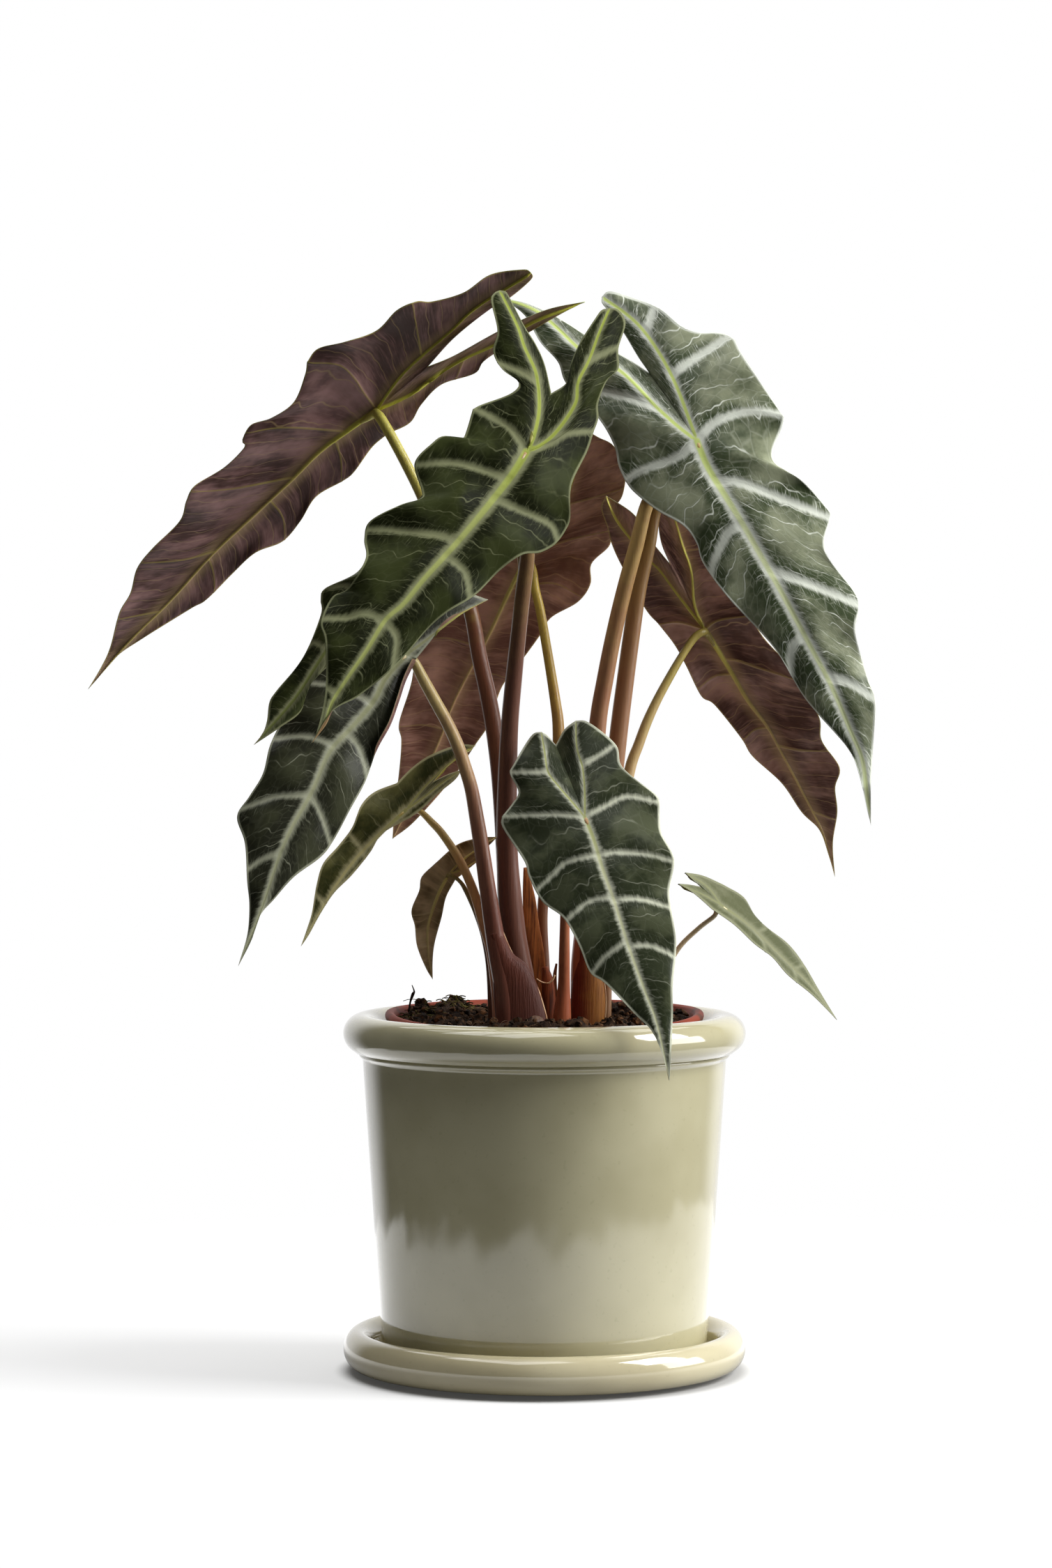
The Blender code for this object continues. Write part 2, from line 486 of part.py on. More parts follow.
def nursery_inside(height):
    """Inside radius of the nursery pot at this height."""
    rise = (height - NURSERY_FOOT) / (NURSERY_RIM_HEIGHT - NURSERY_FOOT)
    outside = NURSERY_FOOT_RADIUS + (NURSERY_TOP_RADIUS - NURSERY_FOOT_RADIUS) * rise
    return outside - NURSERY_WALL


def nursery_pot(collection):
    rim = (NURSERY_RIM_RADIUS, NURSERY_RIM_HEIGHT)
    inside = NURSERY_FOOT + NURSERY_WALL
    mouth = (nursery_inside(NURSERY_RIM_HEIGHT), NURSERY_RIM_HEIGHT)
    profile = arc(rim, NURSERY_RIM_SECTION, NURSERY_RIM_SECTION, 90, -90, NURSERY_RIM_STEPS)
    profile += beside((NURSERY_TOP_RADIUS, NURSERY_RIM_HEIGHT), [NURSERY_NECK])
    profile += [(NURSERY_FOOT_RADIUS, NURSERY_FOOT + NURSERY_FOOT_CHAMFER)]
    profile += [(NURSERY_FOOT_RADIUS - NURSERY_FOOT_CHAMFER, NURSERY_FOOT)]
    profile += [(NURSERY_DRAIN_RADIUS, NURSERY_FOOT), (NURSERY_DRAIN_RADIUS, inside)]
    profile += [(nursery_inside(inside) - NURSERY_FLOOR_INSET, inside)]
    profile += [mouth, *beside(mouth, [NURSERY_LIP])]
    turned("nursery_pot", profile, True, "terracotta", collection)


def soil_height(x, y):
    """Lumpy top of the soil, with a few mounds, in metres."""
    near = noise.noise(Vector((x, y, 0.0)) / SOIL_LUMP_SIZE)
    fine = noise.noise(Vector((y, x, SOIL_CRUMB_SEED)) / SOIL_CRUMB_SIZE)
    height = SOIL_TOP + SOIL_LUMP_HEIGHT * near + SOIL_CRUMB_HEIGHT * fine
    for mound_x, mound_y, rise, spread in SOIL_MOUNDS:
        away = math.hypot(x / MM - mound_x, y / MM - mound_y) / spread
        height += rise * MM * math.exp(-away * away)
    return height


def potting_soil(collection, cutters):
    edge = nursery_inside(SOIL_TOP) - GAP
    foot = nursery_inside(SOIL_FOOT) - GAP - SOIL_FOOT_INSET
    top = [(edge * i / SOIL_RINGS, SOIL_TOP) for i in range(SOIL_RINGS)]
    top += [(edge, SOIL_TOP - SOIL_EDGE_DROP)]
    made = turned("potting_soil", [*top, (foot, SOIL_FOOT), (0.0, SOIL_FOOT)], False, "soil", collection)
    graph = bpy.context.evaluated_depsgraph_get()
    mesh = bpy.data.meshes.new_from_object(made.evaluated_get(graph))
    for vertex in mesh.vertices:
        radius = math.hypot(vertex.co.x, vertex.co.y)
        if vertex.co.z > SOIL_TOP - SOIL_EDGE_DROP - GAP and radius < edge - GAP:
            vertex.co.z = soil_height(vertex.co.x, vertex.co.y)
    made.modifiers.clear()
    made.data = mesh
    cut = made.modifiers.new("Stem holes", "BOOLEAN")
    cut.operation = "DIFFERENCE"
    cut.operand_type = "COLLECTION"
    cut.collection = cutters


def even(line, count):
    """count + 1 points at even spacing along a line of close points, by its first two numbers."""
    length = [0.0]
    for a, b in zip(line, line[1:]):
        length.append(length[-1] + math.hypot(b[0] - a[0], b[1] - a[1]))
    found = []
    at = 0
    for i in range(count + 1):
        wanted = length[-1] * i / count
        while at < len(line) - 2 and length[at + 1] < wanted:
            at += 1
        step = length[at + 1] - length[at]
        found.append(line[at].lerp(line[at + 1], min(max((wanted - length[at]) / step, 0.0), 1.0)))
    return found


def smooth(points, count):
    """count + 1 even points on the smooth curve through these points."""
    points = [Vector(p) for p in points]
    padded = [2 * points[0] - points[1], *points, 2 * points[-1] - points[-2]]
    line = []
    for a, b, c, d in zip(padded, padded[1:], padded[2:], padded[3:]):
        for step in range(FINE_STEPS):
            t = step / FINE_STEPS
            bow = (2 * a - 5 * b + 4 * c - d) * t * t + (3 * b - a - 3 * c + d) * t * t * t
            line.append(b + 0.5 * ((c - a) * t + bow))
    return even([*line, points[-1]], count)


def place(x, z, depth):
    """The point at this depth that is seen at (x, z) of the front elevation, in metres."""
    seen = Vector((x, 0.0, z)) - EYE
    return (EYE + seen * (depth - EYE.y) / -EYE.y) * MM


class Blade:
    """The middle surface of a leaf, as patches of cells between its veins and its margins."""

    def __init__(self, leaf):
        self.leaf = leaf
        self.joint = Vector(leaf["midrib"][0])
        self.along = (Vector(leaf["midrib"][-1]) - self.joint).normalized()
        self.across = Vector((-self.along.y, self.along.x))
        self.mesh = bmesh.new()
        self.known = {}

    def depth(self, point, out, wave=0.0):
        """Depth of a point of the blade, out mm from the nearest vein."""
        leaf = self.leaf
        t = (point - self.joint).dot(self.along)
        n = (point - self.joint).dot(self.across)
        flat = leaf["depth"] + leaf["slope"] * t + leaf["bend"] * t * t + leaf["tilt"] * n
        return flat + leaf["arch"] * out * out / (out + ARCH_EASE) + wave

    def vertex(self, spine, margin, share, phase):
        point = spine.lerp(margin, share)
        wave = self.leaf["wave"] * share * share * math.sin(2 * math.pi * self.leaf["waves"] * phase)
        spot = place(*point, self.depth(point, (point - spine).length, wave))
        key = tuple(round(v, 6) for v in spot)
        if key not in self.known:
            self.known[key] = self.mesh.verts.new(spot)
        return self.known[key]

    def patch(self, spine, margin, across, phase_from, phase_to):
        """Cells between a vein and a margin that have the same number of points."""
        last = len(spine) - 1
        rows = []
        for i, (root, edge) in enumerate(zip(spine, margin)):
            phase = phase_from + (phase_to - phase_from) * i / last
            rows.append([self.vertex(root, edge, j / across, phase) for j in range(across + 1)])
        for low, high in zip(rows, rows[1:]):
            for j in range(across):
                corners = [low[j], low[j + 1], high[j + 1], high[j]]
                corners = [v for k, v in enumerate(corners) if v is not corners[k - 1]]
                if len(corners) > 2:
                    self.mesh.faces.new(corners)

    def side(self, name):
        lobe_cells, blade_cells, across = self.leaf["cells"]
        side = self.leaf[name]
        lobe_tip = side["vein"][-1]
        shoulder = side["lobe"][-1]
        tip = self.leaf["midrib"][-1]
        vein = smooth([self.leaf["midrib"][0], *side["vein"]], lobe_cells)[::-1]
        midrib = smooth(self.leaf["midrib"], blade_cells)
        lobe = smooth([lobe_tip, *side["lobe"]], lobe_cells)
        blade = smooth([shoulder, *side["blade"], tip], blade_cells)
        inner = smooth([lobe_tip, *side["inner"], self.leaf["notch"]], lobe_cells)
        self.patch(vein, lobe, across, lobe_cells / blade_cells, 0.0)
        self.patch(midrib, blade, across, 0.0, 1.0)
        self.patch(vein, inner, 1, 0.0, 0.0)

    def build(self, name, collection):
        self.side("left")
        self.side("right")
        bmesh.ops.recalc_face_normals(self.mesh, faces=self.mesh.faces)
        bmesh.ops.triangulate(self.mesh, faces=self.mesh.faces)
        mesh = bpy.data.meshes.new(name)
        self.mesh.to_mesh(mesh)
        self.mesh.free()
        finish = "upper face" if self.leaf["face"] > 0 else "under face"
        made = add_object(name, mesh, finish, collection)
        shell = made.modifiers.new("Thickness", "SOLIDIFY")
        shell.thickness = BLADE_THICKNESS * MM
        shell.offset = 0.0

    def underside(self):
        """Unit vector out of the underside at the joint."""
        rise = self.leaf["slope"] * self.along + self.leaf["tilt"] * self.across
        return Vector((-rise.x, 1.0, -rise.y)).normalized() * self.leaf["face"]


def stalk_path(leaf, blade):
    """Middle points (x, z, depth) and widths of a leaf stalk, foot to joint, in millimetres."""
    x, z = leaf["midrib"][0]
    joint = Vector((x, leaf["depth"], z))
    under = blade.underside()
    width = leaf["stalk"][0][2]
    elbow = joint + under * (width / 2 + ELBOW_CLEARANCE)
    end = joint + under * (BLADE_THICKNESS / 2 + JOINT_GAP)
    line = [*leaf["stalk"][::-1], (elbow.x, elbow.z, width)]
    length = [0.0]
    for a, b in zip(line, line[1:]):
        length.append(length[-1] + math.hypot(b[0] - a[0], b[1] - a[1]))
    foot = leaf["foot_depth"]
    path = [
        (x, z, foot + (elbow.y - foot) * (run / length[-1]) ** 2, wide)
        for (x, z, wide), run in zip(line, length)
    ]
    return [*path, (end.x, end.z, end.y, width)]


def loft(rings):
    """A closed mesh through rings of points, with its ends capped."""
    shape = bmesh.new()
    loops = [[shape.verts.new(p) for p in ring] for ring in rings]
    for low, high in zip(loops, loops[1:]):
        for i in range(len(low)):
            shape.faces.new([low[i - 1], low[i], high[i], high[i - 1]])
    shape.faces.new(loops[0])
    shape.faces.new(loops[-1])
    bmesh.ops.recalc_face_normals(shape, faces=shape.faces)
    return shape


def sweep(sections, grow=0.0):
    """Rings round middle points: (middle, half width, half thickness), grown by a clearance."""
    middles = [s[0] for s in sections]
    side = Vector((1.0, 0.0, 0.0))
    rings = []
    for i, (middle, half_width, half_thickness) in enumerate(sections):
        before = middles[max(i - 1, 0)]
        after = middles[min(i + 1, len(middles) - 1)]
        ahead = (middle - before).normalized() + (after - middle).normalized()
        ahead.normalize()
        side = (side - ahead * side.dot(ahead)).normalized()
        other = ahead.cross(side)
        ring = []
        for k in range(STALK_SIDES):
            angle = 2 * math.pi * k / STALK_SIDES
            wide = side * math.cos(angle) * (half_width + grow)
            ring.append(middle + wide + other * math.sin(angle) * (half_thickness + grow))
        rings.append(ring)
    return rings


def add_cutter(name, sections, cutters):
    """A copy of a stem's foot, a gap wider and deeper, that cuts its hole in the soil."""
    low = [s for s in sections if s[0].z < CUTTER_TOP_HEIGHT * MM]
    low = sections[: len(low) + 1]
    low[0] = (low[0][0] - Vector((0.0, 0.0, GAP)), low[0][1], low[0][2])
    shape = loft(sweep(low, GAP))
    mesh = bpy.data.meshes.new(name + " hole")
    shape.to_mesh(mesh)
    shape.free()
    cutter = bpy.data.objects.new(name + " hole", mesh)
    cutter.hide_render = True
    cutter.display_type = "WIRE"
    cutters.objects.link(cutter)


def add_stem(name, sections, finish, collection, cutters):
    shape = loft(sweep(sections))
    mesh = bpy.data.meshes.new(name)
    shape.to_mesh(mesh)
    shape.free()
    add_object(name, mesh, finish, collection)
    add_cutter(name, sections, cutters)


def leaf_stalk(name, leaf, blade, collection, cutters):
    path = stalk_path(leaf, blade)
    sections = []
    for i, (x, z, depth, width) in enumerate(path):
        flat = leaf["flat"] + (1.0 - leaf["flat"]) * min(i / ROUND_RINGS, 1.0)
        sections.append((place(x, z, depth), width * MM / 2, width * MM / 2 * flat))
    foot = sections[0][0]
    sections[0] = (Vector((foot.x, foot.y, STALK_FOOT_HEIGHT * MM)), *sections[0][1:])
    add_stem(name, sections, "stalk", collection, cutters)


def old_sheath(name, places, collection, cutters):
    sections = [
        (Vector((x, y, z)) * MM, width * MM / 2, thick * MM / 2) for x, y, z, width, thick in places
    ]
    add_stem(name, sections, "dry sheath", collection, cutters)


def corm(collection, cutters):
    """The fibrous top of the corm, a small knob half sunk in the soil."""
    for name, radius in (("corm", CORM_RADIUS * MM), ("corm hole", CORM_RADIUS * MM + GAP)):
        shape = bmesh.new()
        bmesh.ops.create_uvsphere(
            shape, u_segments=CORM_SEGMENTS, v_segments=CORM_RINGS, radius=radius)
        mesh = bpy.data.meshes.new(name)
        shape.to_mesh(mesh)
        shape.free()
        if name == "corm":
            knob = add_object(name, mesh, "corm", collection)
        else:
            knob = bpy.data.objects.new(name, mesh)
            knob.hide_render = True
            knob.display_type = "WIRE"
            cutters.objects.link(knob)
        knob.location = Vector(CORM_MIDDLE) * MM


def build():
    clear_scene()
    plant = new_collection("Potted alocasia")
    cutters = new_collection("Cutters")
    saucer(plant)
    outer_pot(plant)
    nursery_pot(plant)
    for name, leaf in LEAVES.items():
        blade = Blade(leaf)
        leaf_stalk(name + "_petiole", leaf, blade, plant, cutters)
        blade.build(name + "_blade", plant)
    for name, places in OLD_SHEATHS.items():
        old_sheath(name, places, plant, cutters)
    corm(plant, cutters)
    potting_soil(plant, cutters)


build()
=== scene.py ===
"""A potted alocasia in a glazed pot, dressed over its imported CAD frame.

Metres, +Z up, and the plant's front faces -Y. Leaves and stalks are drawn in millimetres in the
front elevation, as seen by an eye 1.87 m away, and each has its own depth, positive away from it.
"""

import math

import bmesh
import bpy
import numpy as np
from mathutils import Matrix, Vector, noise


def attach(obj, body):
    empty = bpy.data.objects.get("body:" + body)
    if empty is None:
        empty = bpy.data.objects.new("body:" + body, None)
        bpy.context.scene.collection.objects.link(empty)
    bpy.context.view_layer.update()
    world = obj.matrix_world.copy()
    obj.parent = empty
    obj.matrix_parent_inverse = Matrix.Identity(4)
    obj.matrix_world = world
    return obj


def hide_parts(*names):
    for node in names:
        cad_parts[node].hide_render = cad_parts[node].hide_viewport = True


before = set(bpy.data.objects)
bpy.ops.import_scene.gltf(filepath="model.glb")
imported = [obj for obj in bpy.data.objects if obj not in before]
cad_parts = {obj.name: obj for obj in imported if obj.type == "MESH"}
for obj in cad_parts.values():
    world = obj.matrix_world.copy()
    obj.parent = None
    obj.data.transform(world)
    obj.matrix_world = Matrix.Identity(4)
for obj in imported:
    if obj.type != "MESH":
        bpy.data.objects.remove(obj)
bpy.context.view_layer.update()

# Studio. A table of white paper that ends just in front of the picture and fades out into a white
# backdrop, a large soft box high on the right, a softer one overhead, and a dark room in front. The
# camera stands a little above the pot and looks almost level.
EYE = Vector((-0.00825, -1.870, 0.300))
VIEW_DROP = math.radians(1.146)
LENS = 96.0
SENSOR_WIDTH = 36.0
ROOM_LIGHT = 0.05
BACKDROP_LIGHT = 0.95
BACKDROP_FROM = (0.55, 0.85)
SIDE_LIGHT = 0.20
SIDE_FROM = (0.3, 0.95)
PAPER_SIZE = 6.0
PAPER_RADIUS = 0.38
PAPER_SHIFT = (-0.03, -0.10, 0.0)
PAPER_RAGGED = 0.16
PAPER_RAGGED_GRAIN = 8.0
PAPER_TORN_EDGE = 0.03
PAPER_FADE_OUT = (0.24, 0.60)
PAPER_TONE = 0.50
PAPER_LIFT = 0.43
PAPER_BOUNCE = (0.30, 0.16)
# The shine numbers give a painted reflection: extra glow that the paper shows only in glossy rays, away from
# the pot, so the glaze and leaves reflect a brighter floor than the lamps make.
PAPER_REFLECTED_GLOW = 0.75
PAPER_REFLECTED_GLOW_FROM = (0.100, 0.150)
# The contact numbers give a painted contact shadow: the paper's glow drops to a tenth in a thin ring round
# the saucer's foot.
PAPER_PAINTED_SHADOW = 0.10
PAPER_PAINTED_SHADOW_FROM = (0.0870, 0.0950)
WHITE = (1.0, 1.0, 1.0, 1.0)


def put(name, data):
    """A new object at the origin that shows this mesh, light or camera."""
    made = bpy.data.objects.new(name, data)
    bpy.context.collection.objects.link(made)
    return made


camera = put("camera", bpy.data.cameras.new("camera"))
camera.location = EYE
camera.rotation_euler = (math.pi / 2 - VIEW_DROP, 0.0, 0.0)
camera.data.lens = LENS
camera.data.sensor_width = SENSOR_WIDTH
bpy.context.scene.camera = camera
bpy.context.scene.view_settings.view_transform = "Standard"


def add_node(tree, kind, *values, **settings):
    """The first output of a new shader node, its inputs linked or set in their order."""
    made = tree.nodes.new("ShaderNode" + kind)
    for key, value in settings.items():
        setattr(made, key, value)
    for socket, value in zip(made.inputs, values):
        if isinstance(value, bpy.types.NodeSocket):
            tree.links.new(value, socket)
        elif value is not None:
            socket.default_value = value
    return made.outputs[0]


def sum_of(a, b):
    """Node for a + b, of which a is a socket."""
    return add_node(a.id_data, "Math", a, b, operation="ADD")


def product(a, b):
    """Node for a times b, of which a is a socket."""
    return add_node(a.id_data, "Math", a, b, operation="MULTIPLY")


def fade(value, low, high, start=0.0, end=1.0):
    """start where value is at low and end where it is at high, eased between them."""
    tree = value.id_data
    return add_node(tree, "MapRange", value, low, high, start, end, interpolation_type="SMOOTHSTEP")


def fade_out(value, low, high):
    """1 where value is at low and 0 where it is at high."""
    return fade(value, low, high, 1.0, 0.0)


def grain(where, scale, detail=2.0, roughness=0.5):
    """Cloudy noise about 0.5 at these coordinates."""
    return add_node(where.id_data, "TexNoise", where, None, scale, detail, roughness)


def coordinates(tree, kind="Object"):
    """A texture coordinate of this kind, and its three numbers."""
    add_node(tree, "TexCoord")
    where = tree.nodes[-1].outputs[kind]
    add_node(tree, "SeparateXYZ", where)
    return where, *tree.nodes[-1].outputs


def length(vector):
    """Node for the length of a vector."""
    add_node(vector.id_data, "VectorMath", vector, operation="LENGTH")
    return vector.id_data.nodes[-1].outputs["Value"]


def finish_named(name, roughness, shine=0.5, **others):
    """A new material with these numbers on its shader's own sockets, and its node tree."""
    made = bpy.data.materials.new(name)
    made.use_nodes = True
    shader = made.node_tree.nodes["Principled BSDF"]
    shader.inputs["Roughness"].default_value = roughness
    shader.inputs["Specular IOR Level"].default_value = shine
    for title, value in others.items():
        shader.inputs[title.replace("_", " ")].default_value = value
    return made, made.node_tree


def white_paper():
    """Matt white paper with a torn edge that the camera never sees: to it, the paper fades out."""
    made, tree = finish_named("white paper", 0.9, 0.0, Emission_Color=WHITE)
    shader = tree.nodes["Principled BSDF"]
    where = coordinates(tree)[0]
    ragged = product(sum_of(grain(where, PAPER_RAGGED_GRAIN, 1.0), -0.5), PAPER_RAGGED)
    away = length(where)
    edge = sum_of(length(add_node(tree, "VectorMath", where, PAPER_SHIFT)), ragged)
    torn = fade_out(edge, PAPER_RADIUS - PAPER_TORN_EDGE, PAPER_RADIUS + PAPER_TORN_EDGE)
    add_node(tree, "LightPath")
    seen, mirrored = (tree.nodes[-1].outputs[title] for title in ("Is Camera Ray", "Is Glossy Ray"))
    tone = add_node(tree, "MapRange", seen, 0.0, 1.0, PAPER_BOUNCE[0], PAPER_TONE)
    tree.links.new(tone, shader.inputs["Base Color"])
    # Painted contact shadow: the paper's glow dims in a thin ring round the saucer's foot.
    painted_contact_shadow = fade(away, *PAPER_PAINTED_SHADOW_FROM, PAPER_PAINTED_SHADOW, 1.0)
    lift = add_node(tree, "MapRange", seen, 0.0, 1.0, PAPER_BOUNCE[1], PAPER_LIFT)
    # Painted reflection: in glossy rays, and only away from the pot, the paper glows brighter than it is
    # lit.
    shine = product(product(mirrored, PAPER_REFLECTED_GLOW), fade(away, *PAPER_REFLECTED_GLOW_FROM))
    lift = sum_of(product(lift, painted_contact_shadow), shine)
    unseen = add_node(tree, "Math", 1.0, seen, operation="SUBTRACT")
    tree.links.new(lift, shader.inputs["Emission Strength"])
    soft = fade_out(away, *PAPER_FADE_OUT)
    shown = sum_of(product(seen, soft), product(unseen, torn))
    clear = add_node(tree, "BsdfTransparent")
    mixed = add_node(tree, "MixShader", shown, clear, shader.outputs[0])
    tree.links.new(mixed, tree.nodes["Material Output"].inputs["Surface"])
    return made


half = PAPER_SIZE / 2
paper_mesh = bpy.data.meshes.new("paper")
corners = [(-half, -half, 0), (half, -half, 0), (half, half, 0), (-half, half, 0)]
paper_mesh.from_pydata(corners, [], [(0, 1, 2, 3)])
paper_mesh.materials.append(white_paper())
paper = put("paper", paper_mesh)

studio = bpy.data.worlds.new("studio")
studio.use_nodes = True
tree = studio.node_tree
x, y = coordinates(tree, "Generated")[1:3]
behind = fade(y, *BACKDROP_FROM, 0.0, BACKDROP_LIGHT - ROOM_LIGHT)
right = fade(x, *SIDE_FROM, 0.0, SIDE_LIGHT)
lit = sum_of(sum_of(behind, right), ROOM_LIGHT)
add_node(tree, "LightPath")
seen = tree.nodes[-1].outputs["Is Camera Ray"]
unseen = add_node(tree, "Math", 1.0, seen, operation="SUBTRACT")
strength = sum_of(product(lit, unseen), seen)
tree.nodes["Background"].inputs["Color"].default_value = WHITE
tree.links.new(strength, tree.nodes["Background"].inputs["Strength"])
bpy.context.scene.world = studio


def soft_light(name, place, target, size, power):
    """A soft box at place that shines at target, its size in metres and its power in watts."""
    lamp = bpy.data.lights.new(name, "AREA")
    lamp.shape = "RECTANGLE"
    lamp.size, lamp.size_y = size
    lamp.energy = power
    made = put(name, lamp)
    made.location = place
    made.rotation_euler = (Vector(target) - Vector(place)).to_track_quat("-Z", "Y").to_euler()


soft_light("key", (1.50, -0.30, 1.36), (0.0, 0.0, 0.22), (1.0, 1.0), 46.0)
soft_light("side", (1.9, -0.1, 0.55), (0.0, 0.0, 0.22), (1.0, 0.8), 15.0)
soft_light("front", (-0.35, -0.20, 1.90), (0.0, 0.0, 0.15), (1.4, 1.0), 14.0)
soft_light("overhead", (0.0, 0.75, 1.8), (0.0, 0.0, 0.1), (2.0, 1.2), 16.0)


# Saucer. Thick glazed stoneware: a flat floor inside a fat rounded ring, thrown on a wheel and
# fired with one even sage glaze.
MM = 0.001
SAUCER_RING = (0.0835, 0.0103)
SAUCER_RING_SECTION = (0.0065, 0.0084)
SAUCER_FLOOR_TOP = 0.0070
SAUCER_FOOT_RADIUS = 0.0700
SAUCER_SPLAY = (0.004, 0.0016)
EDGE = 0.0003
WHEEL_STEPS = 160


def tint(share, a, b):
    """Colour a where share is 0 and b where it is 1."""
    tree = share.id_data
    made = tree.nodes.new("ShaderNodeMix")
    made.data_type = "RGBA"
    for socket, value in zip((made.inputs[0], made.inputs[6], made.inputs[7]), (share, a, b)):
        if isinstance(value, bpy.types.NodeSocket):
            tree.links.new(value, socket)
        else:
            socket.default_value = (*value, 1.0) if isinstance(value, tuple) else value
    return made.outputs[2]


def bump(height, strength, distance):
    """Node for the relief that a height makes, distance in metres."""
    return add_node(height.id_data, "Bump", strength, distance, None, height)


def finished(made, colour, relief=None):
    """The material, with its colour and its bump linked to its shader."""
    shader = made.node_tree.nodes["Principled BSDF"]
    made.node_tree.links.new(colour, shader.inputs["Base Color"])
    if relief:
        made.node_tree.links.new(relief, shader.inputs["Normal"])
    return made


def glaze(name, thin, thick):
    """Sage glaze, a little darker where it ran thick, over a pale body."""
    made, tree = finish_named(name, 0.09, 0.6, Coat_Weight=0.6, Coat_Roughness=0.03)
    where = coordinates(tree)[0]
    cloud = grain(where, 18.0, 3.0)
    speck = grain(where, 420.0, 2.0)
    colour = tint(fade(cloud, 0.35, 0.68), thick, thin)
    colour = tint(fade(speck, 0.62, 0.75, 0.0, 0.18), colour, tuple(0.7 * c for c in thick))
    return finished(made, colour, bump(grain(where, 9.0, 1.0), 0.06, 0.004))


def arc(middle, half_width, half_height, start, end, steps):
    """Points on an ellipse in the (radius, height) plane, by angle in degrees from outwards."""
    angles = [math.radians(start + (end - start) * i / steps) for i in range(steps + 1)]
    return [(middle[0] + half_width * math.cos(a), middle[1] + half_height * math.sin(a)) for a in angles]


def plain_mesh(made, name):
    """The object's mesh with its modifiers applied, as a new object of this name at the origin."""
    graph = bpy.context.evaluated_depsgraph_get()
    mesh = bpy.data.meshes.new_from_object(made.evaluated_get(graph))
    bpy.data.objects.remove(made, do_unlink=True)
    mesh.name = name
    return put(name, mesh)


def turned(name, profile, closed, finish):
    """A Screw of a profile of (radius, height) points that runs down its outer side."""
    mesh = bpy.data.meshes.new(name + " profile")
    count = len(profile)
    edges = [(i, (i + 1) % count) for i in range(count if closed else count - 1)]
    mesh.from_pydata([(r, 0.0, z) for r, z in profile], edges, [])
    made = put(name + " profile", mesh)
    screw = made.modifiers.new("Turn", "SCREW")
    screw.steps = screw.render_steps = WHEEL_STEPS
    screw.use_merge_vertices = True
    screw.merge_threshold = 0.00001
    screw.use_smooth_shade = True
    done = plain_mesh(made, name)
    done.data.materials.append(finish)
    done.data.set_sharp_from_angle(angle=math.radians(50))
    return done


def settle(piece, *nodes, slot):
    """The piece stands on the root body, in place of these CAD nodes if there are any."""
    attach(piece, "root")
    if nodes:
        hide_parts(*nodes)


over = arc(SAUCER_RING, *SAUCER_RING_SECTION, 205, -80, 40)
profile = [(0.0, SAUCER_FLOOR_TOP), (over[0][0] - 0.0012, SAUCER_FLOOR_TOP)]
profile += [(over[0][0] - EDGE, SAUCER_FLOOR_TOP + EDGE), *over]
profile += [(SAUCER_FOOT_RADIUS + SAUCER_SPLAY[0], SAUCER_SPLAY[1])]
profile += [(SAUCER_FOOT_RADIUS + 2 * EDGE, EDGE)]
profile += [(SAUCER_FOOT_RADIUS, 0.0), (0.0, 0.0)]
saucer_glaze = glaze("saucer glaze", (0.62, 0.56, 0.37), (0.52, 0.46, 0.29))
settle(turned("glazed_saucer", profile, False, saucer_glaze), "saucer", slot="saucer")


# Outer pot. The same stoneware and glaze as its saucer: a tapered body with a bead and a rolled
# rim, thrown in one piece, with a drain hole in its floor.
ROLL = (0.0814, 0.1513)
ROLL_SECTION = 0.0086
BODY_TOP = (0.0813, 0.1395)
BODY_FOOT_RADIUS = 0.0722
POT_FOOT = 0.0073
POT_FLOOR_TOP = 0.0136
POT_WALL = 0.0061
POT_DRAIN_RADIUS = 0.0080

profile = arc(ROLL, ROLL_SECTION, ROLL_SECTION, 90, -58, 26)
neck = profile[-1]
bead = (BODY_TOP[0] + 0.0002, 0.1420)
profile += [(neck[0] - 0.0008, neck[1] - 0.0005), (neck[0] - 0.0012, neck[1] - 0.0009)]
profile += arc(bead, 0.0015, 0.0014, 50, -62, 8)
profile += [(BODY_TOP[0] + 0.0001, BODY_TOP[1] + 0.0004), BODY_TOP, (BODY_TOP[0] - 0.0002, 0.136)]
profile += arc((BODY_FOOT_RADIUS - 0.0028, POT_FOOT + 0.0032), 0.0032, 0.0032, -2, -90, 6)
profile += [(POT_DRAIN_RADIUS, POT_FOOT), (POT_DRAIN_RADIUS, POT_FLOOR_TOP)]
profile += [(BODY_FOOT_RADIUS - POT_WALL - 0.003, POT_FLOOR_TOP)]
profile += [(BODY_FOOT_RADIUS - POT_WALL + 0.0004, POT_FLOOR_TOP + 0.0035)]
profile += [(BODY_TOP[0] - POT_WALL, BODY_TOP[1])]
profile += arc(ROLL, ROLL_SECTION, ROLL_SECTION, 222, 96, 20)
pot_glaze = glaze("pot glaze", (0.535, 0.50, 0.325), (0.455, 0.42, 0.26))
settle(turned("glazed_pot", profile, True, pot_glaze), "outer_pot", slot="outer_pot")


# Nursery pot. The thin terracotta coloured plastic pot that the plant grew in, blow moulded with
# a rolled edge, standing loose inside the glazed one.
NURSERY_RIM = (0.0690, 0.1593)
NURSERY_RIM_SECTION = 0.0023
NURSERY_WALL = 0.0014
NURSERY_TOP_RADIUS = 0.0679
NURSERY_FOOT = (0.0575, 0.0139)
NURSERY_DRAIN_RADIUS = 0.0060
NURSERY_FRONT_DROP = 0.0032
NURSERY_DROP_DEPTH = 0.05
NURSERY_DROP_FROM = 0.120
NURSERY_DROP_RISE = 0.036


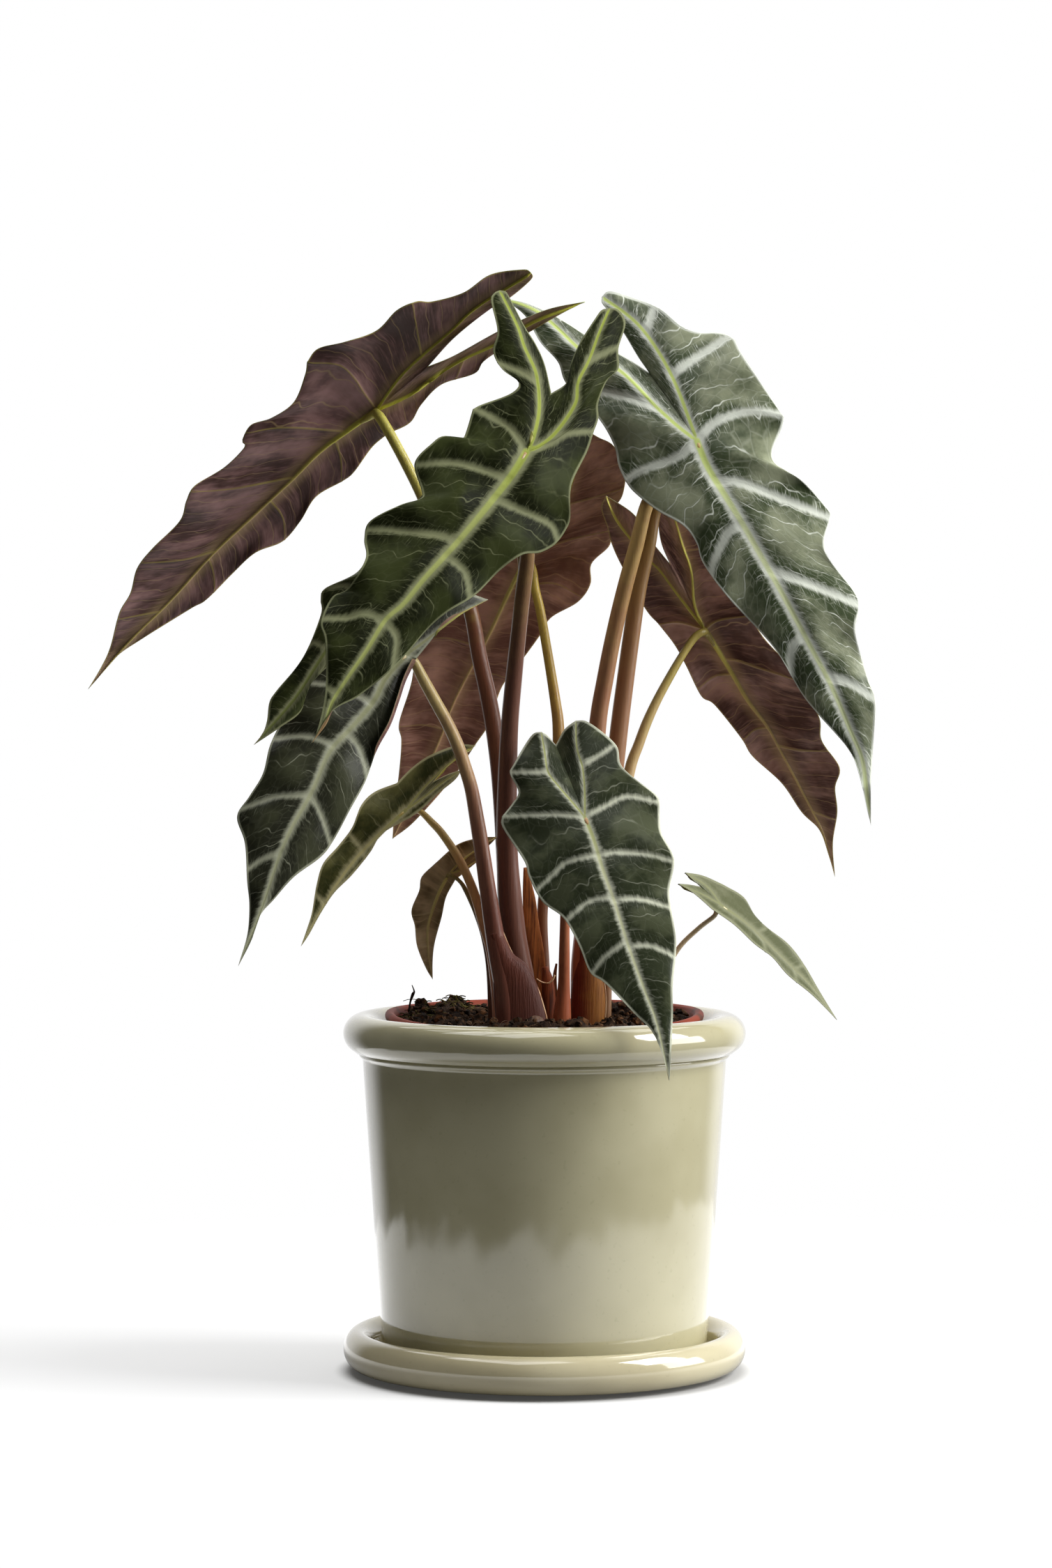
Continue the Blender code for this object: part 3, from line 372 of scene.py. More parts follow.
def nursery_inside(height):
    """Inside radius of the nursery pot at this height."""
    rise = (height - NURSERY_FOOT[1]) / (NURSERY_RIM[1] - NURSERY_FOOT[1])
    return NURSERY_FOOT[0] + (NURSERY_TOP_RADIUS - NURSERY_FOOT[0]) * rise - NURSERY_WALL


def terracotta_plastic():
    """Dull red brown plastic with patches of dried dirt."""
    made, tree = finish_named("terracotta plastic", 0.5, 0.12)
    dust = fade(grain(coordinates(tree)[0], 90.0, 4.0), 0.5, 0.72)
    return finished(made, tint(dust, (0.24, 0.040, 0.018), (0.10, 0.030, 0.014)))


floor = NURSERY_FOOT[1] + NURSERY_WALL
profile = arc(NURSERY_RIM, NURSERY_RIM_SECTION, NURSERY_RIM_SECTION, 90, -90, 14)
profile += [(NURSERY_TOP_RADIUS - 0.0002, NURSERY_RIM[1] - 0.0030)]
profile += [(NURSERY_FOOT[0], NURSERY_FOOT[1] + 0.002), (NURSERY_FOOT[0] - 0.002, NURSERY_FOOT[1])]
profile += [(NURSERY_DRAIN_RADIUS, NURSERY_FOOT[1]), (NURSERY_DRAIN_RADIUS, floor)]
profile += [(nursery_inside(floor) - 0.0005, floor), (nursery_inside(NURSERY_RIM[1]), NURSERY_RIM[1])]
profile += arc(NURSERY_RIM, 0.0021, 0.0021, 168, 100, 5)
nursery = turned("plastic_nursery_pot", profile, True, terracotta_plastic())
for vertex in nursery.data.vertices:
    forward = min(1.0, max(0.0, -vertex.co.y / NURSERY_DROP_DEPTH))
    raised = min(1.0, max(0.0, (vertex.co.z - NURSERY_DROP_FROM) / NURSERY_DROP_RISE))
    vertex.co.z -= NURSERY_FRONT_DROP * forward * raised
settle(nursery, "nursery_pot", slot="nursery_pot")


# Potting soil. Dark, damp peat and bark, pressed by hand into the nursery pot round the stems. Its
# top is lumpy, banks up a little towards the rim and has a mound at the back left.
SOIL_TOP = 0.1548
SOIL_EDGE_DROP = -0.0022
SOIL_BANK = 0.0036
SOIL_BANK_FROM = 0.036
SOIL_BANK_WIDTH = 0.020
SOIL_LUMP_SIZE = 0.0125
SOIL_LUMP_HEIGHT = 0.0042
SOIL_CRUMB_SIZE = 0.004
SOIL_CRUMB_HEIGHT = 0.0011
SOIL_RIM_WIDTH = 0.006
SOIL_SIDE = 0.012
SOIL_GAP = 0.0003
SOIL_FOOT = NURSERY_FOOT[1] + NURSERY_WALL + SOIL_GAP
SOIL_MOUNDS = ((-44.0, 48.0, 8.0, 7.5), (-57.0, 22.0, 4.5, 6.0), (40.0, 38.0, 4.0, 9.0))
SOIL_RINGS = 90
SOIL_STEPS = 220


def soil_height(x, y):
    """Lumpy top of the soil, with a few mounds, in metres."""
    near = noise.noise(Vector((x, y, 0.0)) / SOIL_LUMP_SIZE)
    fine = noise.noise(Vector((y, x, 3.0)) / (SOIL_LUMP_SIZE * 0.45))
    bank = min(1.0, max(0.0, (math.hypot(x, y) - SOIL_BANK_FROM) / SOIL_BANK_WIDTH))
    height = SOIL_TOP + SOIL_LUMP_HEIGHT * (near + 0.4 * fine) + SOIL_BANK * bank
    for mound_x, mound_y, rise, wide in SOIL_MOUNDS:
        away = math.hypot(x / MM - mound_x, y / MM - mound_y) / wide
        height += rise * MM * math.exp(-away * away)
    return height


def soil_earth():
    """Damp dark peat with paler crumbs in it."""
    made, tree = finish_named("damp soil", 0.9, 0.1)
    where = coordinates(tree)[0]
    coarse = grain(where, 160.0, 5.0, 0.65)
    fine = grain(where, 900.0, 4.0, 0.7)
    colour = tint(fade(coarse, 0.38, 0.66), (0.012, 0.007, 0.005), (0.055, 0.032, 0.02))
    colour = tint(fade(fine, 0.56, 0.74, 0.0, 0.8), colour, (0.14, 0.085, 0.05))
    return finished(made, colour, bump(sum_of(coarse, product(fine, 0.4)), 0.9, 0.002))


def keep_shape(name, shape, finish):
    """A bmesh that is done, as a smooth shaded object."""
    mesh = bpy.data.meshes.new(name)
    shape.to_mesh(mesh)
    shape.free()
    mesh.materials.append(finish)
    mesh.shade_smooth()
    return put(name, mesh)


def soil_block(finish):
    """The soil as a closed turned block with a lumpy top."""
    edge = nursery_inside(SOIL_TOP) - SOIL_GAP
    foot = nursery_inside(SOIL_FOOT) - SOIL_GAP - 0.0006
    shape = bmesh.new()
    middle = shape.verts.new((0.0, 0.0, soil_height(0.0, 0.0)))
    angles = [2 * math.pi * k / SOIL_STEPS for k in range(SOIL_STEPS)]
    loops = []
    for i in range(1, SOIL_RINGS + 1):
        radius = edge * (i / SOIL_RINGS) ** 0.75
        loop = []
        for angle in angles:
            x, y = radius * math.cos(angle), radius * math.sin(angle)
            crumb = noise.fractal(Vector((x, y, 1.0)) / SOIL_CRUMB_SIZE, 0.9, 2.2, 4) * SOIL_CRUMB_HEIGHT
            rim = min(1.0, (edge - radius) / SOIL_RIM_WIDTH)
            height = (soil_height(x, y) + crumb) * rim + (SOIL_TOP - SOIL_EDGE_DROP) * (1 - rim)
            loop.append(shape.verts.new((x, y, height)))
        loops.append(loop)
    for radius, height in ((edge, SOIL_TOP - SOIL_SIDE), (foot, SOIL_FOOT)):
        loops.append([shape.verts.new((radius * math.cos(a), radius * math.sin(a), height)) for a in angles])
    for k in range(SOIL_STEPS):
        shape.faces.new([middle, loops[0][k - 1], loops[0][k]])
        for inner, outer in zip(loops, loops[1:]):
            shape.faces.new([inner[k - 1], outer[k - 1], outer[k], inner[k]])
    shape.faces.new(loops[-1])
    bmesh.ops.recalc_face_normals(shape, faces=shape.faces)
    return keep_shape("lumpy_soil", shape, finish)


soil = soil_block(soil_earth())
settle(soil, "potting_soil", slot="potting_soil")


# Crumbs, fibres and moss. Loose bits of bark and peat, broken rootlets and a tuft of dry moss at
# the left, strewn over the soil by hand.
CRUMBS = {"Per Square Metre": 90000.0, "Smallest": 0.0006, "Largest": 0.0019}
CHIPS = {"Per Square Metre": 9000.0, "Smallest": 0.0016, "Largest": 0.0031}
FIBRES = {"Per Square Metre": 14000.0, "Smallest": 0.4, "Largest": 1.0, "Length": 0.009, "Width": 0.00018}
MOSS = {"Per Square Metre": 620000.0, "Smallest": 0.4, "Largest": 1.0, "Length": 0.0042, "Width": 0.00032}
CRUMB_SEED = 11
FIBRE_SEED = 29
FIBRE_TURNS = ((-0.3, -0.25, -math.pi), (0.3, 0.1, math.pi))
SOIL_MIDDLE = (0.0, 0.0, 0.156)
SOIL_REACH = 0.0640
MOSS_PLACES = (((-0.0530, 0.0060, 0.157), 0.0135), ((-0.0440, 0.0470, 0.162), 0.0120))


def stretched(vector, scale):
    """These coordinates scaled by three numbers."""
    return add_node(vector.id_data, "VectorMath", vector, scale, operation="MULTIPLY")


def geo(tree, kind, given, **settings):
    """The first live output of a new geometry node, its inputs given by their names."""
    made = tree.nodes.new(kind)
    for key, value in settings.items():
        setattr(made, key, value)
    for title, value in given.items():
        socket = next(s for s in made.inputs if s.name == title and s.enabled)
        if isinstance(value, bpy.types.NodeSocket):
            tree.links.new(value, socket)
        else:
            socket.default_value = value
    return next(s for s in made.outputs if s.enabled)


def strewing(name, shape_of, inputs, turns, seed):
    """A tree that strews copies of a shape, at any turn within turns, round a middle point."""
    tree = bpy.data.node_groups.new(name, "GeometryNodeTree")
    tree.interface.new_socket("Geometry", in_out="OUTPUT", socket_type="NodeSocketGeometry")
    kinds = [("Geometry", "Geometry"), ("Middle", "Vector"), ("Reach", "Float"), ("Finish", "Material")]
    for title, kind in kinds + [(title, "Float") for title in inputs]:
        tree.interface.new_socket(title, in_out="INPUT", socket_type="NodeSocket" + kind)
    given = tree.nodes.new("NodeGroupInput").outputs
    here = geo(tree, "GeometryNodeInputPosition", {})
    away = tree.nodes.new("ShaderNodeVectorMath")
    away.operation = "DISTANCE"
    tree.links.new(here, away.inputs[0])
    tree.links.new(given["Middle"], away.inputs[1])
    near = geo(tree, "FunctionNodeCompare", {"A": away.outputs["Value"], "B": given["Reach"]},
               data_type="FLOAT", operation="LESS_THAN")
    points = geo(tree, "GeometryNodeDistributePointsOnFaces", {
        "Mesh": given["Geometry"], "Selection": near, "Density": given["Per Square Metre"], "Seed": seed})
    low, high = turns
    turn = geo(tree, "FunctionNodeRandomValue", {"Min": low, "Max": high, "Seed": seed + 1},
               data_type="FLOAT_VECTOR")
    size = geo(tree, "FunctionNodeRandomValue", {"Min": given["Smallest"], "Max": given["Largest"],
                                                 "Seed": seed + 2}, data_type="FLOAT")
    strewn = geo(tree, "GeometryNodeInstanceOnPoints", {
        "Points": points, "Instance": shape_of(tree, given), "Rotation": turn, "Scale": size})
    solid = geo(tree, "GeometryNodeRealizeInstances", {"Geometry": strewn})
    done = geo(tree, "GeometryNodeSetMaterial", {"Geometry": solid, "Material": given["Finish"]})
    tree.links.new(done, tree.nodes.new("NodeGroupOutput").inputs[0])
    return tree


def crumb_shape(tree, _):
    """A rough lump of twenty faces, one unit in radius."""
    lump = geo(tree, "GeometryNodeMeshIcoSphere", {"Radius": 1.0, "Subdivisions": 1})
    geo(tree, "ShaderNodeTexNoise", {"Scale": 0.9})
    colour = tree.nodes[-1].outputs["Color"]
    shift = add_node(tree, "VectorMath", colour, (0.5, 0.5, 0.5), operation="SUBTRACT")
    shift = stretched(shift, (2.4, 2.4, 1.2))
    return geo(tree, "GeometryNodeSetPosition", {"Geometry": lump, "Offset": shift})


def fibre_shape(tree, given):
    """A bent three sided thread that starts in the soil."""
    reach = given["Length"]
    tip = geo(tree, "ShaderNodeCombineXYZ", {"X": reach, "Y": product(reach, 0.25), "Z": 0.0})
    bend = geo(tree, "ShaderNodeCombineXYZ", {
        "X": product(reach, 0.45), "Y": product(reach, -0.2), "Z": product(reach, 0.35)})
    line = geo(tree, "GeometryNodeCurveQuadraticBezier", {
        "Resolution": 6, "Start": (0.0, 0.0, -0.0004), "Middle": bend, "End": tip})
    section = geo(tree, "GeometryNodeCurvePrimitiveCircle", {"Resolution": 3, "Radius": given["Width"]})
    return geo(tree, "GeometryNodeCurveToMesh", {"Curve": line, "Profile Curve": section, "Fill Caps": True})


def strew(name, tree, middle, reach, finish, sizes):
    """Run a strewing tree over the soil and keep its result as a plain mesh."""
    ground = put(name + " ground", soil.data)
    spread_out = ground.modifiers.new("Strew", "NODES")
    spread_out.node_group = tree
    values = {"Middle": middle, "Reach": reach, "Finish": finish, **sizes}
    for socket in tree.interface.items_tree:
        if socket.in_out == "INPUT" and socket.name in values:
            spread_out[socket.identifier] = values[socket.name]
    settle(plain_mesh(ground, name), slot="potting_soil")


def bark(name, dark, pale):
    """Dry, dull plant matter in two tones."""
    made, tree = finish_named(name, 0.85, 0.15)
    where = coordinates(tree)[0]
    colour = tint(fade(grain(where, 330.0, 3.0), 0.4, 0.66), dark, pale)
    return finished(made, colour, bump(grain(where, 2200.0, 3.0), 0.6, 0.0004))


lumps = strewing("strewn lumps", crumb_shape, CRUMBS, ((-math.pi,) * 3, (math.pi,) * 3), CRUMB_SEED)
threads = strewing("strewn threads", fibre_shape, FIBRES, FIBRE_TURNS, FIBRE_SEED)
peat = bark("peat crumbs", (0.008, 0.0035, 0.0012), (0.068, 0.030, 0.010))
strew("soil_crumbs", lumps, SOIL_MIDDLE, SOIL_REACH, peat, CRUMBS)
chips = bark("bark chips", (0.020, 0.009, 0.003), (0.13, 0.055, 0.020))
strew("bark_chips", lumps, SOIL_MIDDLE, SOIL_REACH, chips, CHIPS)
rootlets = bark("dry rootlets", (0.09, 0.05, 0.026), (0.24, 0.15, 0.085))
strew("soil_fibres", threads, SOIL_MIDDLE, SOIL_REACH, rootlets, FIBRES)
moss = bark("dry moss", (0.040, 0.034, 0.008), (0.17, 0.135, 0.035))
for number, (middle, reach) in enumerate(MOSS_PLACES, start=1):
    strew("moss_tuft_%d" % number, threads, middle, reach, moss, MOSS)


# Leaves. Each blade is one sheet grown as a long arrow head: a midrib, two lobe veins and curved
# side veins, sunk and pale on the glossy upper face and raised on the purple under face. Its stalk
# joins the blade's underside where the three main veins meet.
BLADE_THICKNESS = 0.55
RIM_THICKNESS = 0.35
RIM_WIDTH = 2.0
CURVE_STEPS = 400
VEIN_STEPS = 40
ACROSS_STEPS = 30
INNER_ACROSS_STEPS = 8
CELL = 1.35
QUILT_HEIGHT = 2.6
QUILT_REACH = 30.0
QUILT_SKEW = 1.05
CRUMPLE_SIZE = 15.0
CRUMPLE_HEIGHT = 2.2
CRUMPLE_FROM = 14.0
ARCH_FROM = 12.0
MAIN_GROOVE = (0.32, 1.6)
SIDE_GROOVE = (0.22, 1.4)
UNDER_GROOVE = 0.3
MAIN_RIB = (1.5, 0.7)
SIDE_RIB = (0.5, 0.8)
LOBE_VEIN_WIDTH = (0.55, 0.8)
LEAST_TAPER = 0.15
ROLL_EASE = 2.2
RIPPLE_FROM = 4.0
EYE_DISTANCE = 1870.0


def shade(colour):
    """A colour as a screen shows it, 0 to 255, as the light it reflects."""
    return tuple(((v / 255 + 0.055) / 1.055) ** 2.4 for v in colour)


def run_along(line):
    """How far each point of a line is from its start, in its first two numbers."""
    return np.concatenate([[0.0], np.cumsum(np.hypot(*np.diff(line[:, :2], axis=0).T))])


def spread(line, shares):
    """Points at these shares of a line's length."""
    run = run_along(line)
    return np.stack([np.interp(shares * run[-1], run, line[:, k]) for k in range(line.shape[1])], 1)


def curve(points, steps=CURVE_STEPS):
    """Even points on the smooth curve through a few points."""
    points = np.array(points, float)
    ends = np.vstack([2 * points[0] - points[1], points, 2 * points[-1] - points[-2]])
    t = np.linspace(0.0, 1.0, 12, endpoint=False)[:, None]
    line = [
        b + 0.5 * ((c - a) * t + (2 * a - 5 * b + 4 * c - d) * t**2 + (3 * b - a - 3 * c + d) * t**3)
        for a, b, c, d in zip(ends, ends[1:], ends[2:], ends[3:])
    ]
    return spread(np.vstack([*line, points[-1:]]), np.linspace(0.0, 1.0, steps + 1))


def along(line, share):
    """The point at this share of a curve of even points."""
    at = share * (len(line) - 1)
    low = min(int(at), len(line) - 2)
    return line[low] + (line[low + 1] - line[low]) * (at - low)


def share_at(line, point):
    """How far along a curve of even points it comes nearest to this point, 0 to 1."""
    return np.argmin(np.hypot(*(line - np.array(point)).T)) / (len(line) - 1)


def length_of(line):
    """The length of a line in the front elevation."""
    return np.hypot(*np.diff(line, axis=0).T).sum()


def eased(count, ease=0.45):
    """Shares from 0 to 1 that stand closer at both ends."""
    even = np.linspace(0.0, 1.0, count + 1)
    return even * (1 - ease) + ease * (0.5 - 0.5 * np.cos(math.pi * even))


def side_veins(root, edge, lines, first, across):
    """Each side vein's share along the main vein and the margin, and its points, base to tip."""
    found = [(0.0, 0.0, spread(curve(first), across))]
    for line in lines:
        a, b = share_at(root, line[0]), share_at(edge, line[-1])
        whole = [along(root, a), *line[1:-1], along(edge, b)]
        found.append((a, b, spread(curve(whole), across)))
    return [*found, (1.0, 1.0, np.repeat(root[-1:], len(across), 0))]


def row_shares(root, strips):
    """Shares along a main vein where rows of cells stand, each side vein's among them."""
    stops = sorted({round(v[0], 4) for edge, veins in strips for v in veins})
    shares = [0.0]
    for low, high in zip(stops, stops[1:]):
        longest = length_of(root) * (high - low)
        for edge, veins in strips:
            reach = np.interp([low, high], [v[0] for v in veins], [v[1] for v in veins])
            longest = max(longest, length_of(edge) * (reach[1] - reach[0]))
        count = max(2, math.ceil(longest / CELL))
        shares += list(low + (high - low) * eased(count)[1:])
    return np.array(shares)


def strip_rows(root, edge, veins, shares, across):
    """Rows of points from a main vein to the margin, bent as the side veins on both sides of them.
    Beside each row: its share along the margin, and how far it stands between two side veins."""
    starts = [v[0] for v in veins]
    s = across[:, None]
    points, reaches, betweens = [], [], []
    for share in shares:
        k = min(np.searchsorted(starts, share + 1e-4) - 1, len(veins) - 2)
        (low, low_reach, low_line), (high, high_reach, high_line) = veins[k], veins[k + 1]
        between = min(max((share - low) / (high - low), 0.0), 1.0)
        reach = low_reach + (high_reach - low_reach) * between
        middle = (1 - between) * low_line + between * high_line
        start, end = along(root, share), along(edge, reach)
        points.append(middle + (1 - s) * (start - middle[0]) + s * (end - middle[-1]))
        reaches.append(reach)
        betweens.append(between)
    return np.array(points), np.array(reaches), np.array(betweens)


def rolled(points, reaches, roll):
    """Rows whose outer ends curl up off the blade in a roll, and the lift of each point.
    roll is (from, to, radius, turn): shares along the margin, millimetres and degrees."""
    lift = np.zeros(points.shape[:2])
    begin, end, radius, turn = roll
    for i, reach in enumerate(reaches):
        inside = (reach - begin) / (end - begin)
        if not 0.0 < inside < 1.0:
            continue
        whole = math.radians(turn) * min(1.0, ROLL_EASE * math.sin(math.pi * inside))
        row = points[i]
        run = run_along(row)
        flat = run[-1] - radius * math.sin(min(whole, math.pi / 2))
        if flat < radius:
            continue
        paper_run = run * (flat + radius * whole) / run[-1]
        angle = np.clip((paper_run - flat) / radius, 0.0, whole)
        out = np.where(paper_run > flat, flat + radius * np.sin(angle), paper_run)
        points[i] = np.stack([np.interp(out, run, row[:, 0]), np.interp(out, run, row[:, 1])], 1)
        lift[i] = radius * (1 - np.cos(angle))
    return points, lift


def vein_distance(points, lines):
    """Distance from each point to the nearest vein, less its half width there, and over it.
    A vein is a line of (x, z, half width)."""
    gap = np.full(len(points), 1e6)
    share = np.full(len(points), 1e6)
    for line in lines:
        for a, b in zip(line, line[1:]):
            step = b[:2] - a[:2]
            t = np.clip((points - a[:2]) @ step / max(step @ step, 1e-9), 0.0, 1.0)
            away = np.hypot(*(points - a[:2] - t[:, None] * step).T)
            half_width = a[2] + (b[2] - a[2]) * t
            share = np.where(away - half_width < gap, away / half_width, share)
            gap = np.minimum(gap, away - half_width)
    return gap, share


def with_width(line, base, tip):
    """A vein's centre line with its half width at each point."""
    line = spread(np.array(line, float), np.linspace(0, 1, VEIN_STEPS + 1))
    return np.column_stack([line, base + (tip - base) * np.linspace(0, 1, len(line))])


class Sheet:
    """A blade's middle surface: its points, what each knows of its place, and its cells."""

    def __init__(self):
        self.points, self.facts, self.cells = [], [], []
        self.count = 0

    def add(self, points, facts, turn):
        """A grid of points, with a column of facts for each."""
        rows, columns = points.shape[:2]
        index = np.arange(rows * columns).reshape(rows, columns) + self.count
        cells = np.stack([index[:-1, :-1], index[:-1, 1:], index[1:, 1:], index[1:, :-1]], -1)
        flat = points.reshape(-1, 2)
        quads = flat[cells.reshape(-1, 4) - self.count]
        after = np.roll(quads, -1, axis=1)
        area = (quads[..., 0] * after[..., 1] - after[..., 0] * quads[..., 1]).sum()
        self.points.append(flat)
        self.facts.append(facts.reshape(rows * columns, -1))
        cells = cells.reshape(-1, 4)
        self.cells.append(cells[:, ::-1] if area * turn < 0 else cells)
        self.count += rows * columns


def blade_sheet(leaf):
    """The sheet of a leaf, its veins, its joint and its midrib. The facts of each point are its
    share across, way out, phase, lift, quilt, three numbers for the weave, and way to the rim."""
    across, inner_across = eased(ACROSS_STEPS), eased(INNER_ACROSS_STEPS)
    joint = leaf["midrib"][0]
    midrib = curve(leaf["midrib"])
    sheet = Sheet()
    primary = [with_width(midrib, *leaf["midrib_width"])]
    lateral = []
    sides = []
    for name, hand in (("left", -1.0), ("right", 1.0)):
        side = leaf[name]
        shoulder, tip = side["lobe"][-1], leaf["midrib"][-1]
        vein = curve([joint, *side["vein"]])
        blade = curve([shoulder, *side["blade"], tip])
        lobe = curve([side["vein"][-1], *side["lobe"]])[::-1]
        inner = curve([side["vein"][-1], *side["inner"], leaf["notch"]])[::-1]
        first = [joint, *side.get("shoulder_vein", []), shoulder]
        first = first if len(first) > 2 else [joint, (np.array(joint) + shoulder) / 2, shoulder]
        blade_veins = side_veins(midrib, blade, side.get("ribs", []), first, across)
        lobe_veins = side_veins(vein, lobe, side.get("lobe_ribs", []), first, across)
        notch_row = [joint, (np.array(joint) + leaf["notch"]) / 2, leaf["notch"]]
        inner_veins = side_veins(vein, inner, [], notch_row, inner_across)
        sides.append((hand, side, vein, blade, lobe, inner, blade_veins, lobe_veins, inner_veins))
        widths = [width * part for width, part in zip(leaf["midrib_width"], LOBE_VEIN_WIDTH)]
        primary.append(with_width(vein, *widths))
        start = 0 if side.get("shoulder_vein") else 1
        lateral += [with_width(v[2], *leaf["rib_width"]) for v in blade_veins[start:-1]]
        lateral += [with_width(v[2], *leaf["rib_width"]) for v in lobe_veins[1:-1]]
    shares = row_shares(midrib, [(s[3], s[6]) for s in sides])
    blade_run = length_of(midrib)
    for hand, side, vein, blade, lobe, inner, blade_veins, lobe_veins, inner_veins in sides:
        lobe_shares = row_shares(vein, [(lobe, lobe_veins), (inner, inner_veins)])
        vein_run = length_of(vein)
        phase_ratio = length_of(lobe) / length_of(blade)
        for kind, root, edge, veins, steps, ways in (
            ("blade", midrib, blade, blade_veins, shares, across),
            ("lobe", vein, lobe, lobe_veins, lobe_shares, across),
            ("inner", vein, inner, inner_veins, lobe_shares, inner_across),
        ):
            points, reaches, betweens = strip_rows(root, edge, veins, steps, ways)
            lift = np.zeros(points.shape[:2])
            for roll in side.get("rolls", []) if kind == "blade" else []:
                points, lift = rolled(points, reaches, roll)
            out = np.hypot(*np.moveaxis(points - points[:, :1], -1, 0))
            steps_out = np.hypot(*np.moveaxis(np.diff(points, axis=1), -1, 0))
            run = np.cumsum(np.pad(steps_out, ((0, 0), (1, 0))), 1)
            s = np.broadcast_to(ways, out.shape)
            ones = np.ones_like(out)
            phase = {"blade": 1.0, "lobe": phase_ratio, "inner": 0.0}[kind] * reaches[:, None] * ones
            puff = np.sin(math.pi * betweens)[:, None] * np.sin(math.pi * np.minimum(s * QUILT_SKEW, 1.0))
            puff = puff * np.minimum(run[:, -1:] / QUILT_REACH, 1.0) * (kind != "inner")
            u = (blade_run if kind == "blade" else -vein_run) * steps[:, None] * ones
            v, third = (0 * ones, run) if kind == "inner" else (hand * run, 0 * ones)
            ripple = s * run[:, -1:] / (run[:, -1:] + RIPPLE_FROM) * (kind != "inner")
            facts = [ripple, out, phase, lift, puff, u, v, third, run[:, -1:] - run]
            sheet.add(points, np.stack(facts, -1), leaf["face"])
    return sheet, primary, lateral, np.array(joint, float), midrib


def merged(points, facts, cells):
    """The same sheet with its double points joined and its collapsed cells as triangles."""
    _, first, index = np.unique(np.round(points, 4), axis=0, return_index=True, return_inverse=True)
    index = index.reshape(-1)
    faces = []
    for cell in index[cells].tolist():
        corners = [v for k, v in enumerate(cell) if v != cell[k - 1]]
        if len(corners) > 2 and len(set(corners)) == len(corners):
            faces.append(corners)
    return points[first], facts[first], faces


def normals_of(points, faces):
    """A unit normal at each point, the mean of the faces round it."""
    corners = np.array([[f[0], f[1], f[2], f[-1]] for f in faces])
    a, b, c, d = (points[column] for column in corners.T)
    across = np.cross(c - a, d - b)
    thin = np.array([len(f) == 3 for f in faces])
    across[thin] = np.cross(b - a, c - a)[thin]
    total = np.zeros_like(points)
    for k in range(4):
        np.add.at(total, corners[:, k], across)
    return total / np.maximum(np.linalg.norm(total, axis=1, keepdims=True), 1e-12)


def place(points, depth):
    """Points seen at (x, z) of the front elevation, at this depth, in millimetres."""
    eye = np.array(EYE) * 1000
    seen = np.column_stack([points[:, 0], np.zeros(len(points)), points[:, 1]]) - eye
    return eye + seen * ((depth + EYE_DISTANCE) / EYE_DISTANCE)[:, None]


def leaf_directions(leaf):
    """Unit vectors in the elevation, from the joint to the leaf's tip and to its right."""
    way = np.array(leaf["midrib"][-1], float) - leaf["midrib"][0]
    way /= np.hypot(*way)
    return way, np.array([-way[1], way[0]])


def lie(leaf, t, n):
    """The blade's depth t along its midrib and n to the side, before its arch and its waves."""
    return leaf["depth"] + leaf["slope"] * t + leaf["bend"] * t * t + leaf["tilt"] * n


def skinned(name, points, faces, finishes, labels):
    """A smooth shaded object of points in millimetres, each labelled with three numbers at a time."""
    mesh = bpy.data.meshes.new(name)
    mesh.from_pydata((points * MM).tolist(), [], faces)
    for label, values in labels.items():
        layer = mesh.attributes.new(label, "FLOAT_VECTOR", "POINT")
        layer.data.foreach_set("vector", values.astype(np.float32).ravel())
    for finish in finishes:
        mesh.materials.append(finish)
    mesh.shade_smooth()
    mesh.update()
    return put(name, mesh)


